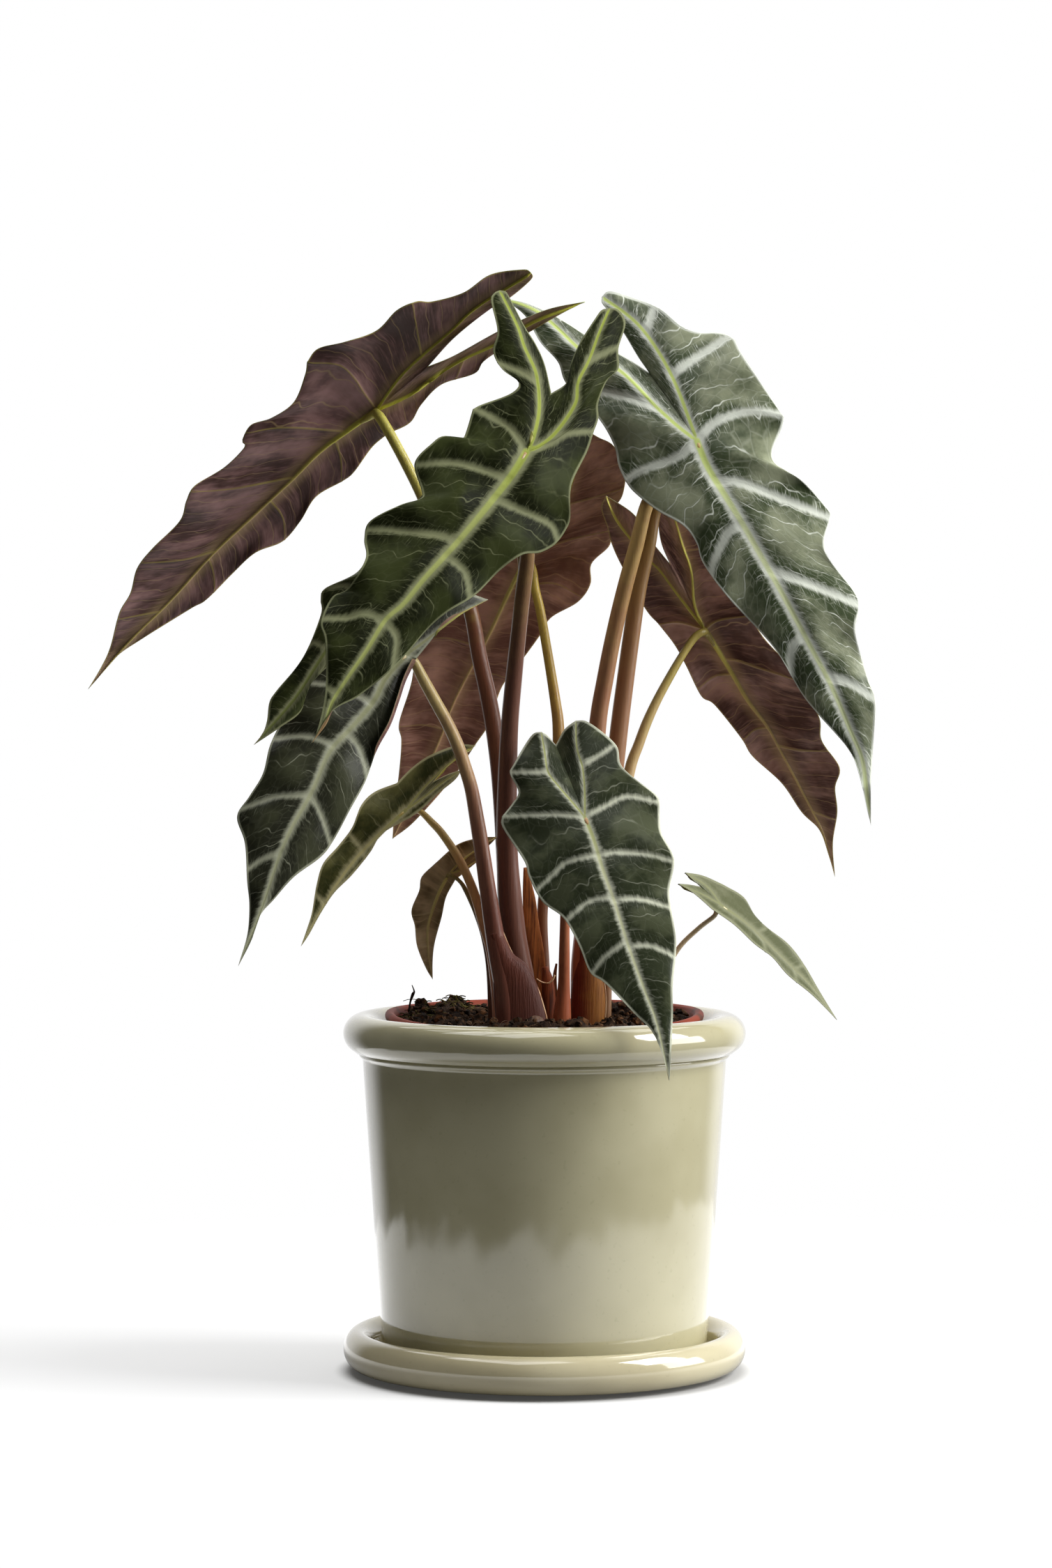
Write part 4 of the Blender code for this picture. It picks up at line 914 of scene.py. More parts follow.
def grow_blade(name, leaf, finishes):
    """The blade as a closed sheet with an upper and an under face."""
    sheet, primary, lateral, joint, midrib = blade_sheet(leaf)
    points = np.vstack(sheet.points)
    share, out, phase, lift, puff, u, v, third, rim = np.vstack(sheet.facts).T
    way, side_way = leaf_directions(leaf)
    t, n = (points - joint) @ way, (points - joint) @ side_way
    face = leaf["face"]
    depth = lie(leaf, t, n)
    depth += leaf["arch"] * out * out / (out + ARCH_FROM)
    depth += leaf["wave"] * share * share * np.sin(2 * math.pi * leaf["waves"] * phase)
    crumple = np.array([noise.noise(Vector((x, z, 9.0 * joint[0])) / CRUMPLE_SIZE) for x, z in points])
    relief = leaf.get("relief", 1.0)
    crumple = relief * CRUMPLE_HEIGHT * crumple * np.minimum(out / CRUMPLE_FROM, 1.0)
    depth -= face * (lift + relief * QUILT_HEIGHT * puff) + crumple
    main_gap, main_share = vein_distance(points, primary)
    side_gap, side_share = vein_distance(points, lateral)
    facts = np.column_stack([main_gap, side_gap, rim, main_share, side_share, t, u, v, third])
    spots, facts, faces = merged(place(points, depth), facts, np.vstack(sheet.cells))
    main_gap, side_gap, rim, main_share, side_share, t = facts[:, :6].T
    normal = normals_of(spots, faces)
    groove = 0.0
    for (depth, soft), gap in ((MAIN_GROOVE, main_gap), (SIDE_GROOVE, side_gap)):
        groove += depth * np.clip(0.5 - gap / soft, 0, 1)
    taper = np.clip(1.0 - t / length_of(midrib), LEAST_TAPER, 1.0)
    main_rib, side_rib = (
        height * (0.5 + 0.5 * np.cos(math.pi * np.clip(beside / wide, 0, 1)))
        for (height, wide), beside in ((MAIN_RIB, main_share), (SIDE_RIB, side_share)))
    rib = np.maximum(taper * main_rib, side_rib)
    thin = np.clip(rim / RIM_WIDTH, RIM_THICKNESS, 1.0)
    half_sheet = BLADE_THICKNESS / 2 * thin
    upper = spots + normal * (half_sheet - groove * thin)[:, None]
    under = spots - normal * (half_sheet + (groove * UNDER_GROOVE + rib) * thin)[:, None]
    count = len(spots)
    edges = dict.fromkeys((a, b) for f in faces for a, b in zip(f, f[1:] + f[:1]))
    border = [(a, b) for a, b in edges if (b, a) not in edges]
    whole = faces + [[k + count for k in f[::-1]] for f in faces]
    whole += [[b, a, a + count, b + count] for a, b in border]
    labels = {"veins": facts[:, :3], "share": facts[:, 3:6], "weave": facts[:, 6:]}
    labels = {label: np.vstack([values] * 2) for label, values in labels.items()}
    made = skinned(name, np.vstack([upper, under]), whole, finishes, labels)
    index = np.zeros(len(whole), np.int32)
    index[len(faces) : 2 * len(faces)] = 1
    made.data.polygons.foreach_set("material_index", index)
    made.data.update()
    return made


def read(tree, name):
    """One of the piece's attributes as a vector, and its three numbers."""
    add_node(tree, "Attribute", attribute_name=name)
    vector = tree.nodes[-1].outputs["Vector"]
    add_node(tree, "SeparateXYZ", vector)
    return vector, *tree.nodes[-1].outputs


def streaky(where, scale, detail=3.0, roughness=0.6):
    """Noise about 0.5 that is scaled by three numbers, fine one way and long the other."""
    return grain(stretched(where, scale), 1.0, detail, roughness)


def feathered(gap, noise_value, reach, soft):
    """1 inside a vein and 0 outside, with its edge pushed out by streaks of noise."""
    pushed = sum_of(gap, product(sum_of(noise_value, -0.5), -reach))
    return fade_out(pushed, -soft, soft)


def upper_face(name, dark, light, pale, core, joint, reach=60.0, gloss=0.34, feather=2.6,
               threads=0.4, hairs=0.5, cloud=0.5, shine=0.15):
    """Glossy green skin with pale feathered veins, a midrib lime near the stalk and a pale rim."""
    dark, light, pale, core, joint = map(shade, (dark, light, pale, core, joint))
    made, tree = finish_named(name, gloss, shine)
    main_gap, side_gap, rim = read(tree, "veins")[1:]
    main_share, along_leaf = read(tree, "share")[1::2]
    weave, u = read(tree, "weave")[:2]
    gap = add_node(tree, "Math", main_gap, side_gap, operation="MINIMUM")
    # Painted shade and light: the lamina is painted darker next to the sunk veins and lighter in the middle
    # of the puffed cells between them, on top of its own random mottling.
    painted_vein_shade = fade(gap, 0.0, 13.0, -0.10, 0.14)
    mottle_and_vein_shade = sum_of(grain(coordinates(tree)[0], 55.0, 4.0, 0.6), painted_vein_shade)
    base = tint(fade(mottle_and_vein_shade, 0.5 - cloud * 0.3, 0.5 + cloud * 0.4), dark, light)
    cells = stretched(weave, (0.22, 0.15, 0.2))
    cells = add_node(tree, "TexVoronoi", cells, None, 1.0, feature="DISTANCE_TO_EDGE")
    net = fade_out(cells, 0.0, 0.07)
    faint = tuple(0.72 * a + 0.28 * b for a, b in zip(light, pale))
    base = tint(product(net, 0.3 * threads), base, faint)
    bent = streaky(weave, (0.05, 0.07, 0.1), 2.0, 0.5)
    thread = sum_of(product(u, 0.26), product(bent, 4.0))
    thread = add_node(tree, "Math", thread, 1.0, operation="PINGPONG")
    broken = streaky(weave, (0.11, 0.05, 0.1), 3.0, 0.5)
    thread = product(fade_out(thread, 0.0, 0.11), fade(broken, 0.42, 0.6))
    base = tint(product(thread, threads), base, pale)
    main = feathered(main_gap, streaky(weave, (0.55, 0.10, 0.3)), feather, 1.3)
    side = feathered(side_gap, streaky(weave, (0.12, 0.5, 0.6)), feather * 0.8, 1.2)
    colour = tint(product(side, 0.85), base, pale)
    colour = tint(product(main, 0.90), colour, pale)
    fine_across = streaky(weave, (1.5, 0.13, 0.4), 3.0, 0.65)
    fine_along = streaky(weave, (0.13, 1.5, 1.5), 3.0, 0.65)
    streaks = product(fade(fine_across, 0.56, 0.70), fade_out(main_gap, 0.0, 9.0))
    combed = product(fade(fine_along, 0.56, 0.70), fade_out(side_gap, 0.0, 7.0))
    streaks = add_node(tree, "Math", streaks, combed, operation="MAXIMUM")
    colour = tint(product(streaks, hairs), colour, pale)
    middle = fade_out(main_share, 0.20, 0.62)
    colour = tint(product(middle, 0.9), colour, core)
    near = fade(along_leaf, reach, 0.0)
    colour = tint(product(middle, product(near, 0.9)), colour, joint)
    line = fade_out(sum_of(rim, product(broken, -0.4)), 0.3, 1.2)
    colour = tint(product(line, 0.85), colour, pale)
    fine = streaky(weave, (0.55, 0.4, 0.5), 3.0, 0.5)
    height = sum_of(product(fine, 0.5), product(net, -0.12))
    return finished(made, colour, bump(height, 0.22, 0.0007))


def under_face(name, dark, light, vein, joint, reach=60.0):
    """Satin purple brown skin with raised olive veins and a fine net between them."""
    dark, light, vein, joint = map(shade, (dark, light, vein, joint))
    made, tree = finish_named(name, 0.5, 0.25)
    main_gap, rim = read(tree, "veins")[1::2]
    main_share, side_share, along_leaf = read(tree, "share")[1:]
    weave, u = read(tree, "weave")[:2]
    cloud = streaky(weave, (0.05, 0.03, 0.05), 4.0)
    base = tint(fade(cloud, 0.42, 0.72), dark, light)
    wisps = streaky(weave, (0.22, 0.03, 0.15), 4.0)
    base = tint(fade(wisps, 0.50, 0.70, 0.0, 0.5), base, light)
    hairs = streaky(weave, (1.1, 0.1, 0.6))
    base = tint(fade(hairs, 0.50, 0.75, 0.0, 0.4), base, light)
    olive = tuple(0.5 * a + 0.5 * b for a, b in zip(light, vein))
    bent = streaky(weave, (0.04, 0.06, 0.08), 2.0, 0.5)
    arcs = sum_of(product(u, 0.30), product(bent, 3.0))
    arcs = add_node(tree, "Math", arcs, 1.0, operation="PINGPONG")
    net = fade_out(arcs, 0.0, 0.10)
    base = tint(product(net, 0.5), base, olive)
    side = fade_out(side_share, 0.25, 0.7)
    main = fade_out(main_share, 0.18, 0.45)
    halo = fade(main_gap, -1.0, 4.5, 0.5, 0.0)
    colour = tint(halo, base, olive)
    colour = tint(product(side, 0.42), colour, vein)
    colour = tint(product(main, 0.7), colour, vein)
    near = fade(along_leaf, reach, 0.0)
    centre = fade_out(main_share, 0.3, 0.8)
    colour = tint(product(centre, near), colour, joint)
    colour = tint(fade(rim, 0.1, 0.8, 0.6, 0.0), colour, vein)
    height = sum_of(product(wisps, 0.8), product(hairs, 0.3))
    return finished(made, colour, bump(height, 0.35, 0.0010))


STALK_FULLNESS = 1.18
STALK_FULLER_FROM = 195.0
STALK_FULLER_RISE = 45.0
STALK_FOOT = 140.0
STALK_ELBOW = 2.0
STALK_ROUND_RISE = 55.0
STALK_STEPS = 150
STALK_SIDES = 24
STALK_RIDGES = 0.012
STALK_TAIL = ((1.5, 0.46, 0.86), (5.0, 0.42, 0.6), (9.0, 0.36, 0.32))


def stalk_line(leaf):
    """Points (x, depth, z, width) up the middle of a stalk, on to the underside of the midrib."""
    way, side_way = leaf_directions(leaf)
    joint = np.array(leaf["midrib"][0], float)
    rise = leaf["slope"] * way + leaf["tilt"] * side_way
    under = np.array([-rise[0], 1.0, -rise[1]])
    under *= leaf["face"] / np.linalg.norm(under)
    width = leaf["stalk"][0][2]
    elbow = np.array([joint[0], leaf["depth"], joint[1]]) + under * (width / 2 + STALK_ELBOW)
    line = np.array([*leaf["stalk"][::-1], (elbow[0], elbow[2], width)], float)
    run = run_along(line)
    foot = leaf["foot_depth"]
    depth = foot + (elbow[1] - foot) * (run / run[-1]) ** 2
    path = [(x, d, z, wide) for (x, z, wide), d in zip(line, depth)]
    midrib = curve(leaf["midrib"])
    for past, sunk, wide in STALK_TAIL:
        spot = spread(midrib, np.array([past / length_of(midrib)]))[0]
        t, n = (spot - joint) @ way, (spot - joint) @ side_way
        out = under * (sunk * width)
        path.append((spot[0] + out[0], lie(leaf, t, n) + out[1], spot[1] + out[2], width * wide))
    return path


def rings(middles, half_widths, half_depths, sides, ridges=0.0):
    """Rings of points round a path, each turned as little as can be from the one before."""
    half_widths, half_depths = (np.broadcast_to(half, len(middles)) for half in (half_widths, half_depths))
    ahead = np.gradient(middles, axis=0)
    ahead /= np.linalg.norm(ahead, axis=1, keepdims=True)
    angle = 2 * math.pi * np.arange(sides) / sides
    side = np.array([1.0, 0.0, 0.0])
    found = []
    for middle, way, wide, deep in zip(middles, ahead, half_widths, half_depths):
        side = side - way * (side @ way)
        side /= np.linalg.norm(side)
        other = np.cross(way, side)
        swell = 1.0 + ridges * np.cos(sides / 2 * angle)
        out = np.outer(np.cos(angle) * wide * swell, side) + np.outer(np.sin(angle) * deep * swell, other)
        found.append(middle + out)
    return np.array(found)


def tube(name, loops, finish, heights):
    """A closed tube through rings of points, labelled with its share along, its turn and its height."""
    count, sides = loops.shape[:2]
    index = np.arange(count * sides).reshape(count, sides)
    low, high = index[:-1], index[1:]
    faces = np.stack([low, np.roll(low, -1, 1), np.roll(high, -1, 1), high], -1).reshape(-1, 4).tolist()
    faces += [index[0][::-1].tolist(), index[-1].tolist()]
    share, turn = np.linspace(0.0, 1.0, count)[:, None], np.arange(sides) / sides
    climb = np.stack(np.broadcast_arrays(share, turn, heights[:, None]), -1)
    return skinned(name, loops.reshape(-1, 3), faces, [finish], {"climb": climb})


def stalk_skin(name, foot, middle, top, brown_to, green_from):
    """Smooth satin stalk skin, brown at the foot and green at the top, with fine long streaks."""
    foot, middle, top = map(shade, (foot, middle, top))
    made, tree = finish_named(name, 0.36)
    share = read(tree, "climb")[1]
    where = coordinates(tree)[0]
    long_streaks = streaky(where, (1500.0, 1500.0, 55.0))
    blotch = grain(where, 120.0, 3.0)
    moved = sum_of(share, product(sum_of(blotch, -0.5), 0.25))
    colour = tint(fade(moved, brown_to - 0.15, brown_to + 0.25), foot, middle)
    colour = tint(fade(moved, green_from - 0.3, green_from + 0.15), colour, top)
    darker = tuple(0.55 * c for c in foot)
    colour = tint(fade(long_streaks, 0.45, 0.75, 0.0, 0.34), colour, darker)
    return finished(made, colour, bump(long_streaks, 0.25, 0.0005))


def grow_stalk(name, leaf, finish):
    """The stalk as a ridged tube, flat at its sheath and round above it."""
    line = curve([(x, z, d, wide) for x, d, z, wide in stalk_line(leaf)], STALK_STEPS)
    spots = place(line[:, :2], line[:, 2])
    height = line[:, 1]
    spots[0, 2] = min(spots[0, 2], STALK_FOOT)
    above = np.clip((height - STALK_FULLER_FROM) / STALK_FULLER_RISE, 0.0, 1.0)
    half_width = line[:, 3] / 2 * (1.0 + (STALK_FULLNESS - 1.0) * above)
    high = np.clip((height - STALK_FOOT) / STALK_ROUND_RISE, 0.0, 1.0)
    flat = leaf["flat"] + (1.0 - leaf["flat"]) * high
    loops = rings(spots, half_width, half_width * flat, STALK_SIDES, STALK_RIDGES)
    return tube(name, loops, finish, height)


def grow_leaf(name, leaf, upper, under, stalk):
    """A blade with its stalk, each in its own skin and in place of its CAD solid."""
    skins = upper_face(name + " upper", **upper), under_face(name + " under", **under)
    settle(grow_blade(name + "_leaf_blade", leaf, skins), name + "_blade", slot=name + "_blade")
    stem = grow_stalk(name + "_leaf_stalk", leaf, stalk_skin(name + " stalk", *stalk))
    settle(stem, name + "_petiole", slot=name + "_petiole")


# Each leaf's palette below holds painted light and shade besides the leaf's own tone: it is lighter on the
# blades, backs and stalks that these lamps leave in shade, with the purple backs painted lighter for light
# that would shine through them, and darker on those that catch the soft boxes.
# Leaf 1. The broad leaf at the upper left, hanging with its purple brown back to the front. It is
# leathery and grown in one with its stalk, which meets it at the notch between the two lobes.
leaf = dict(
    midrib=[(-75, 430), (-89, 420), (-101, 411), (-114, 398), (-131, 382), (-148, 366), (-167, 345),
        (-186, 326), (-204, 305)],
    notch=(-52, 449), depth=40, slope=0.4, bend=-0.001, tilt=0.8, arch=-0.15, face=-1, waves=6, wave=2.5,
    midrib_width=(1.9, 0.8), rib_width=(1, 0.5),
    left=dict(
        vein=[(-65, 444), (-55, 454), (-42, 465), (-30, 476), (-6, 491)],
        lobe=[(-9.5, 492.2), (-24, 490), (-36, 482), (-50, 478), (-57, 478), (-66, 474), (-75, 465),
            (-89, 460), (-101, 457), (-106, 451)],
        blade=[(-107, 445), (-112, 433), (-122, 426), (-131, 423), (-135, 416), (-134, 413), (-143, 404),
            (-156, 396), (-160, 389), (-163, 380), (-175, 368), (-182, 359), (-185, 348), (-190, 339),
            (-194, 324), (-198, 315)], inner=[(-5.8, 488), (-15, 480), (-25, 474), (-40, 462)],
        shoulder_vein=[(-81, 438), (-85, 444), (-92, 450)],
        ribs=[[(-89, 421), (-117, 422), (-133, 419)], [(-112, 400), (-138, 395), (-158, 393)],
            [(-146, 366), (-162, 363), (-180, 361)], [(-172, 340), (-190, 336)]],
        lobe_ribs=[[(-55, 454), (-58, 474)]]),
    right=dict(
        vein=[(-60, 437), (-48, 446), (-36, 453), (-23, 459), (-4, 470), (18, 478)],
        lobe=[(3, 470), (-25, 453), (-31, 446), (-46, 441), (-55, 432), (-60, 424), (-70, 419)],
        blade=[(-77, 413), (-85, 402), (-90, 398), (-102, 391), (-109, 380), (-117, 371), (-129, 366),
            (-139, 357), (-151, 345), (-158, 341), (-179, 328), (-192, 319)],
        inner=[(0, 474), (-20, 465), (-40, 454)], shoulder_vein=[(-74, 425)],
        ribs=[[(-92, 414), (-91, 408), (-92, 400)], [(-121, 388), (-117, 382), (-118, 374)],
            [(-148, 362), (-148, 357), (-150, 351)]], lobe_ribs=[[(-36, 453), (-40, 444)]]),
    stalk=[(-69, 419, 4), (-61.5, 405, 4.1), (-55.5, 393, 4.3), (-48, 376, 4.7), (-40, 357, 5.2),
        (-33, 340, 5.7), (-29.2, 320, 6), (-24.8, 300, 6.3), (-21.5, 280, 6.5), (-19.4, 260, 6.6),
        (-17.8, 230, 6.6), (-17, 190, 6.8), (-16.5, 140, 7)], foot_depth=8.5, flat=0.9)
GREEN_FACE = dict(
    dark=(41, 51, 28), light=(68, 81, 48), pale=(168, 176, 136), core=(203, 208, 151), joint=(173, 186, 98))
under = dict(dark=(75, 52, 48), light=(175, 135, 132), vein=(201, 184, 98), joint=(225, 223, 89))
grow_leaf("leaf_01", leaf, GREEN_FACE, under, ((90, 55, 41), (121, 74, 52), (225, 217, 104), 0.3, 0.88))


# Leaf 2. The large glossy leaf in front, hung over to the lower left with its upper face showing
# and its two lobes folded up to either side of the stalk. Its midrib is lime near the stalk.
leaf = dict(
    midrib=[(-8, 411), (-15, 400), (-26, 386), (-36, 374), (-44, 365), (-54, 354), (-63, 343), (-71, 336),
        (-79, 323), (-88, 310), (-95, 299), (-98, 290), (-104, 281)],
    notch=(3, 437), depth=-50, slope=-0.6, bend=0.001, tilt=0.15, arch=0.2, face=1, waves=5, wave=2.5,
    midrib_width=(3.6, 1.4), rib_width=(1.9, 1.2),
    left=dict(
        vein=[(-5, 417), (-2.5, 428), (-2.5, 438), (-4, 447), (-9, 458), (-12, 467), (-20, 483)],
        lobe=[(-22.6, 481.6), (-23.8, 478), (-21, 465), (-23, 456), (-19, 448), (-11.5, 442), (-15, 437),
            (-28, 432), (-32, 430)],
        blade=[(-35, 420), (-37, 417), (-45, 418), (-50, 415), (-58, 406), (-55, 394), (-55.5, 390),
            (-65, 387), (-78, 380), (-80.5, 372), (-80, 363), (-88, 350), (-95, 346), (-100, 335),
            (-98, 326), (-98, 303), (-102, 285)],
        inner=[(-17.2, 482.2), (-15, 478.5), (-9, 467), (-4, 459), (0, 450)],
        shoulder_vein=[(-15, 421), (-23, 426)],
        ribs=[[(-18, 400), (-28, 403), (-41, 406), (-56, 405)],
            [(-41, 373), (-49, 374), (-68, 376), (-78, 376)],
            [(-72, 336), (-80, 339), (-88, 337), (-97, 336)], [(-92, 303), (-98, 306)]],
        lobe_ribs=[[(-5, 442), (-11, 447), (-19, 452)]]),
    right=dict(
        vein=[(0, 415), (7, 422), (14, 433), (15, 442), (20, 452), (24, 463), (29, 475)],
        lobe=[(32.4, 474.6), (35.2, 471.5), (36, 467), (33, 457), (33, 448), (28, 443), (24, 433), (24, 426),
            (22, 420)],
        blade=[(19, 411), (12, 396), (11.5, 382), (10, 377), (5, 370), (-2, 366), (-10, 365), (-20, 358),
            (-31, 347), (-44, 339), (-53, 331), (-67, 315), (-83, 302), (-95, 295)],
        inner=[(25.6, 474.2), (23, 471), (16, 460), (12, 451), (10, 442)],
        shoulder_vein=[(3, 415), (10, 419)],
        ribs=[[(-21, 389), (-13, 386), (-4, 382), (3, 378), (4, 373)],
            [(-41, 362), (-36, 358), (-34, 352), (-34, 346)],
            [(-69, 334), (-66, 328), (-67, 319), (-68, 315)]],
        lobe_ribs=[[(20, 452), (27, 455), (32.6, 458)]]),
    stalk=[(-7.8, 400, 4), (-7.5, 382, 4.8), (-7.7, 364, 5.4), (-9.4, 350, 5.7), (-11.6, 330, 5.8),
        (-13.7, 310, 6.2), (-15.5, 290, 6.5), (-16.4, 270, 7.1), (-16.8, 250, 7.7), (-16.6, 230, 8.3),
        (-15.4, 210, 10.2), (-13.4, 192, 11.4), (-10.8, 175, 12.6), (-8.4, 157, 12.6), (-8, 140, 12.4)],
    foot_depth=-1, flat=0.6)
upper = dict(
    dark=(22, 25, 10), light=(48, 53, 27), pale=(119, 122, 91), core=(149, 156, 91), joint=(136, 147, 64),
    reach=46, gloss=0.4, threads=0.5, shine=0.02, hairs=0.6)
BROWN_BACK = dict(
    dark=(93, 63, 58), light=(142, 106, 98), vein=(147, 121, 78), joint=(170, 167, 86))
grow_leaf("leaf_02", leaf, upper, BROWN_BACK, ((110, 70, 56), (105, 67, 51), (145, 121, 70), 0.35, 0.88))


# Leaf 3. The large pale grey green leaf at the right, with a few white threads between its veins; its pale
# tone is partly its own and partly a painted sheen. It hangs nearly straight down from its thick stalk, and
# curls a little at its tip.
leaf = dict(
    midrib=[(68, 416), (73, 404), (81, 391), (89, 378), (97, 364), (105, 350), (112, 337), (120, 322),
        (127, 309), (132, 298), (137, 286), (142, 274), (144, 260), (146, 244)],
    notch=(47, 446), depth=-10, slope=-0.5, bend=0.0009, tilt=-0.05, arch=0.2, face=1, waves=5, wave=2.5,
    midrib_width=(3.2, 2), rib_width=(2.2, 1.5),
    left=dict(
        vein=[(60, 422), (50, 431), (34, 447), (18, 455), (6, 466), (-4, 474), (-20, 480)],
        lobe=[(-9, 472), (-2, 460), (6, 451), (10, 441), (24, 426), (31, 414), (33, 405), (36, 398)],
        blade=[(40, 393), (50, 385), (62, 378), (68, 370), (71, 361), (82, 346), (97, 330), (105, 320),
            (115, 303), (123, 293), (136, 278), (141, 266)],
        inner=[(-7, 477), (6, 471), (20, 462), (38, 452)], shoulder_vein=[(60, 409), (50, 405), (42, 402)],
        rolls=[(0.82, 1.02, 2, 130)],
        ribs=[[(88, 378), (82, 375), (79, 369), (76, 363), (76, 357)],
            [(114, 328), (111, 324), (110, 317), (110, 311)]],
        lobe_ribs=[[(50, 431), (40, 434.5), (25, 438), (11, 440)]]),
    right=dict(
        vein=[(64, 427), (59, 440), (53, 452), (45, 464), (37, 472), (25.5, 480)],
        lobe=[(29, 482.5), (38, 480), (51, 475), (61, 467), (69, 464), (77, 464), (84, 462), (88, 455),
            (98, 440), (107, 427)],
        blade=[(106, 422), (102, 411), (104, 405), (115, 398), (127, 385), (128, 381), (125, 370),
            (128, 362), (139, 348), (141, 341), (139, 330), (145, 309), (148, 300), (147, 280), (146, 264)],
        inner=[(25.8, 477), (30, 472), (36, 463), (42, 453)],
        shoulder_vein=[(76, 424), (86, 428), (97, 429)],
        ribs=[[(79, 400), (88, 397), (103, 391), (116, 386), (127, 381)],
            [(101, 360), (110, 355), (123, 350), (140, 342)], [(128, 312), (136, 308), (145, 300)]],
        lobe_ribs=[[(58, 446), (68, 453), (82, 461)], [(45, 464), (49, 475)]]),
    stalk=[(61, 408, 4), (53, 398, 4.6), (46, 388, 5), (41.2, 370, 5.5), (35.8, 350, 5.8), (31.1, 330, 6),
        (27.2, 310, 6.3), (23.7, 288, 6.5), (21.6, 250, 7), (20.4, 218, 8.4), (19.4, 198, 11.5),
        (19.2, 182, 14.4), (19.2, 168, 14.8), (18.6, 157, 13.2), (18.6, 140, 12.8)], foot_depth=3,
    flat=0.62, relief=0.6)
# Painted sheen: this face's pale grey green is partly the leaf's own tone and partly a painted sheen.
upper = dict(
    dark=(63, 73, 48), light=(142, 147, 120), pale=(221, 225, 212), core=(217, 225, 170),
    joint=(208, 225, 123), reach=50, gloss=0.36, threads=1, cloud=0.5, hairs=0.85, feather=3.4)
grow_leaf("leaf_03", leaf, upper, BROWN_BACK, ((182, 105, 67), (170, 120, 86), (207, 176, 105), 0.26, 0.8))


# Leaf 4. The brown backed leaf behind the middle of the plant, mostly covered by the two big ones.
# Its lobes stand up on either side of a thin olive stalk.
leaf = dict(
    midrib=[(-7, 366), (-15, 350), (-24.5, 330), (-34, 312), (-41, 298), (-47, 282), (-57, 260), (-68, 238)],
    notch=(-1, 386), depth=58, slope=0.45, bend=-0.0012, tilt=0, arch=-0.1, face=-1, waves=4, wave=2,
    midrib_width=(1.8, 0.8), rib_width=(1, 0.5),
    left=dict(
        vein=[(-14, 380), (-20, 395), (-27, 412)], lobe=[(-34, 403), (-40, 388), (-40, 378), (-44, 366)],
        blade=[(-51, 350), (-50, 340), (-57, 325), (-59.5, 308), (-65, 290), (-64, 282), (-65, 268),
            (-67, 252)], inner=[(-18, 405), (-8, 393)], shoulder_vein=[(-26, 369)],
        ribs=[[(-30, 325), (-44, 328), (-58, 327)], [(-45, 287), (-54, 289), (-64, 288)]],
        lobe_ribs=[[(-18, 393), (-30, 394)]]),
    right=dict(
        vein=[(2, 376), (9, 388), (13, 400), (18, 421)],
        lobe=[(24, 417.5), (31, 413.5), (36, 403), (35, 392), (31, 385), (30, 376)],
        blade=[(29, 369), (21, 361), (20.6, 352), (15, 344), (3, 337), (-2, 329), (-10, 318), (-19, 306),
            (-24.5, 290), (-31, 280), (-42, 264), (-58, 246)], inner=[(12, 410), (5, 396)],
        shoulder_vein=[(12, 372)],
        ribs=[[(-15, 350), (-3, 352), (6, 352), (16, 347)], [(-34, 312), (-24, 312), (-16, 310)]],
        lobe_ribs=[[(11, 386), (23, 391), (36, 395)]]),
    stalk=[(-5, 358, 2.8), (-4.2, 350, 3.4), (-1.9, 340, 3.6), (1.6, 320, 3.7), (4.8, 300, 4.1),
        (6.2, 288, 4.5), (6, 270, 4.6), (4.2, 246, 4.6), (1.4, 225, 4.6), (-0.9, 205, 4.6), (-0.2, 182, 5),
        (0.4, 162, 6.2), (0.5, 140, 6.6)], foot_depth=12, flat=0.9)
# Painted light: this back is painted much lighter than the other leaves' brown backs, for the shade it
# stands in behind the two big leaves.
under = dict(dark=(141, 98, 84), light=(225, 174, 154), vein=(225, 196, 133), joint=(225, 213, 116))
grow_leaf("leaf_04", leaf, GREEN_FACE, under, ((138, 92, 65), (163, 122, 65), (195, 168, 70), 0.35, 0.8))


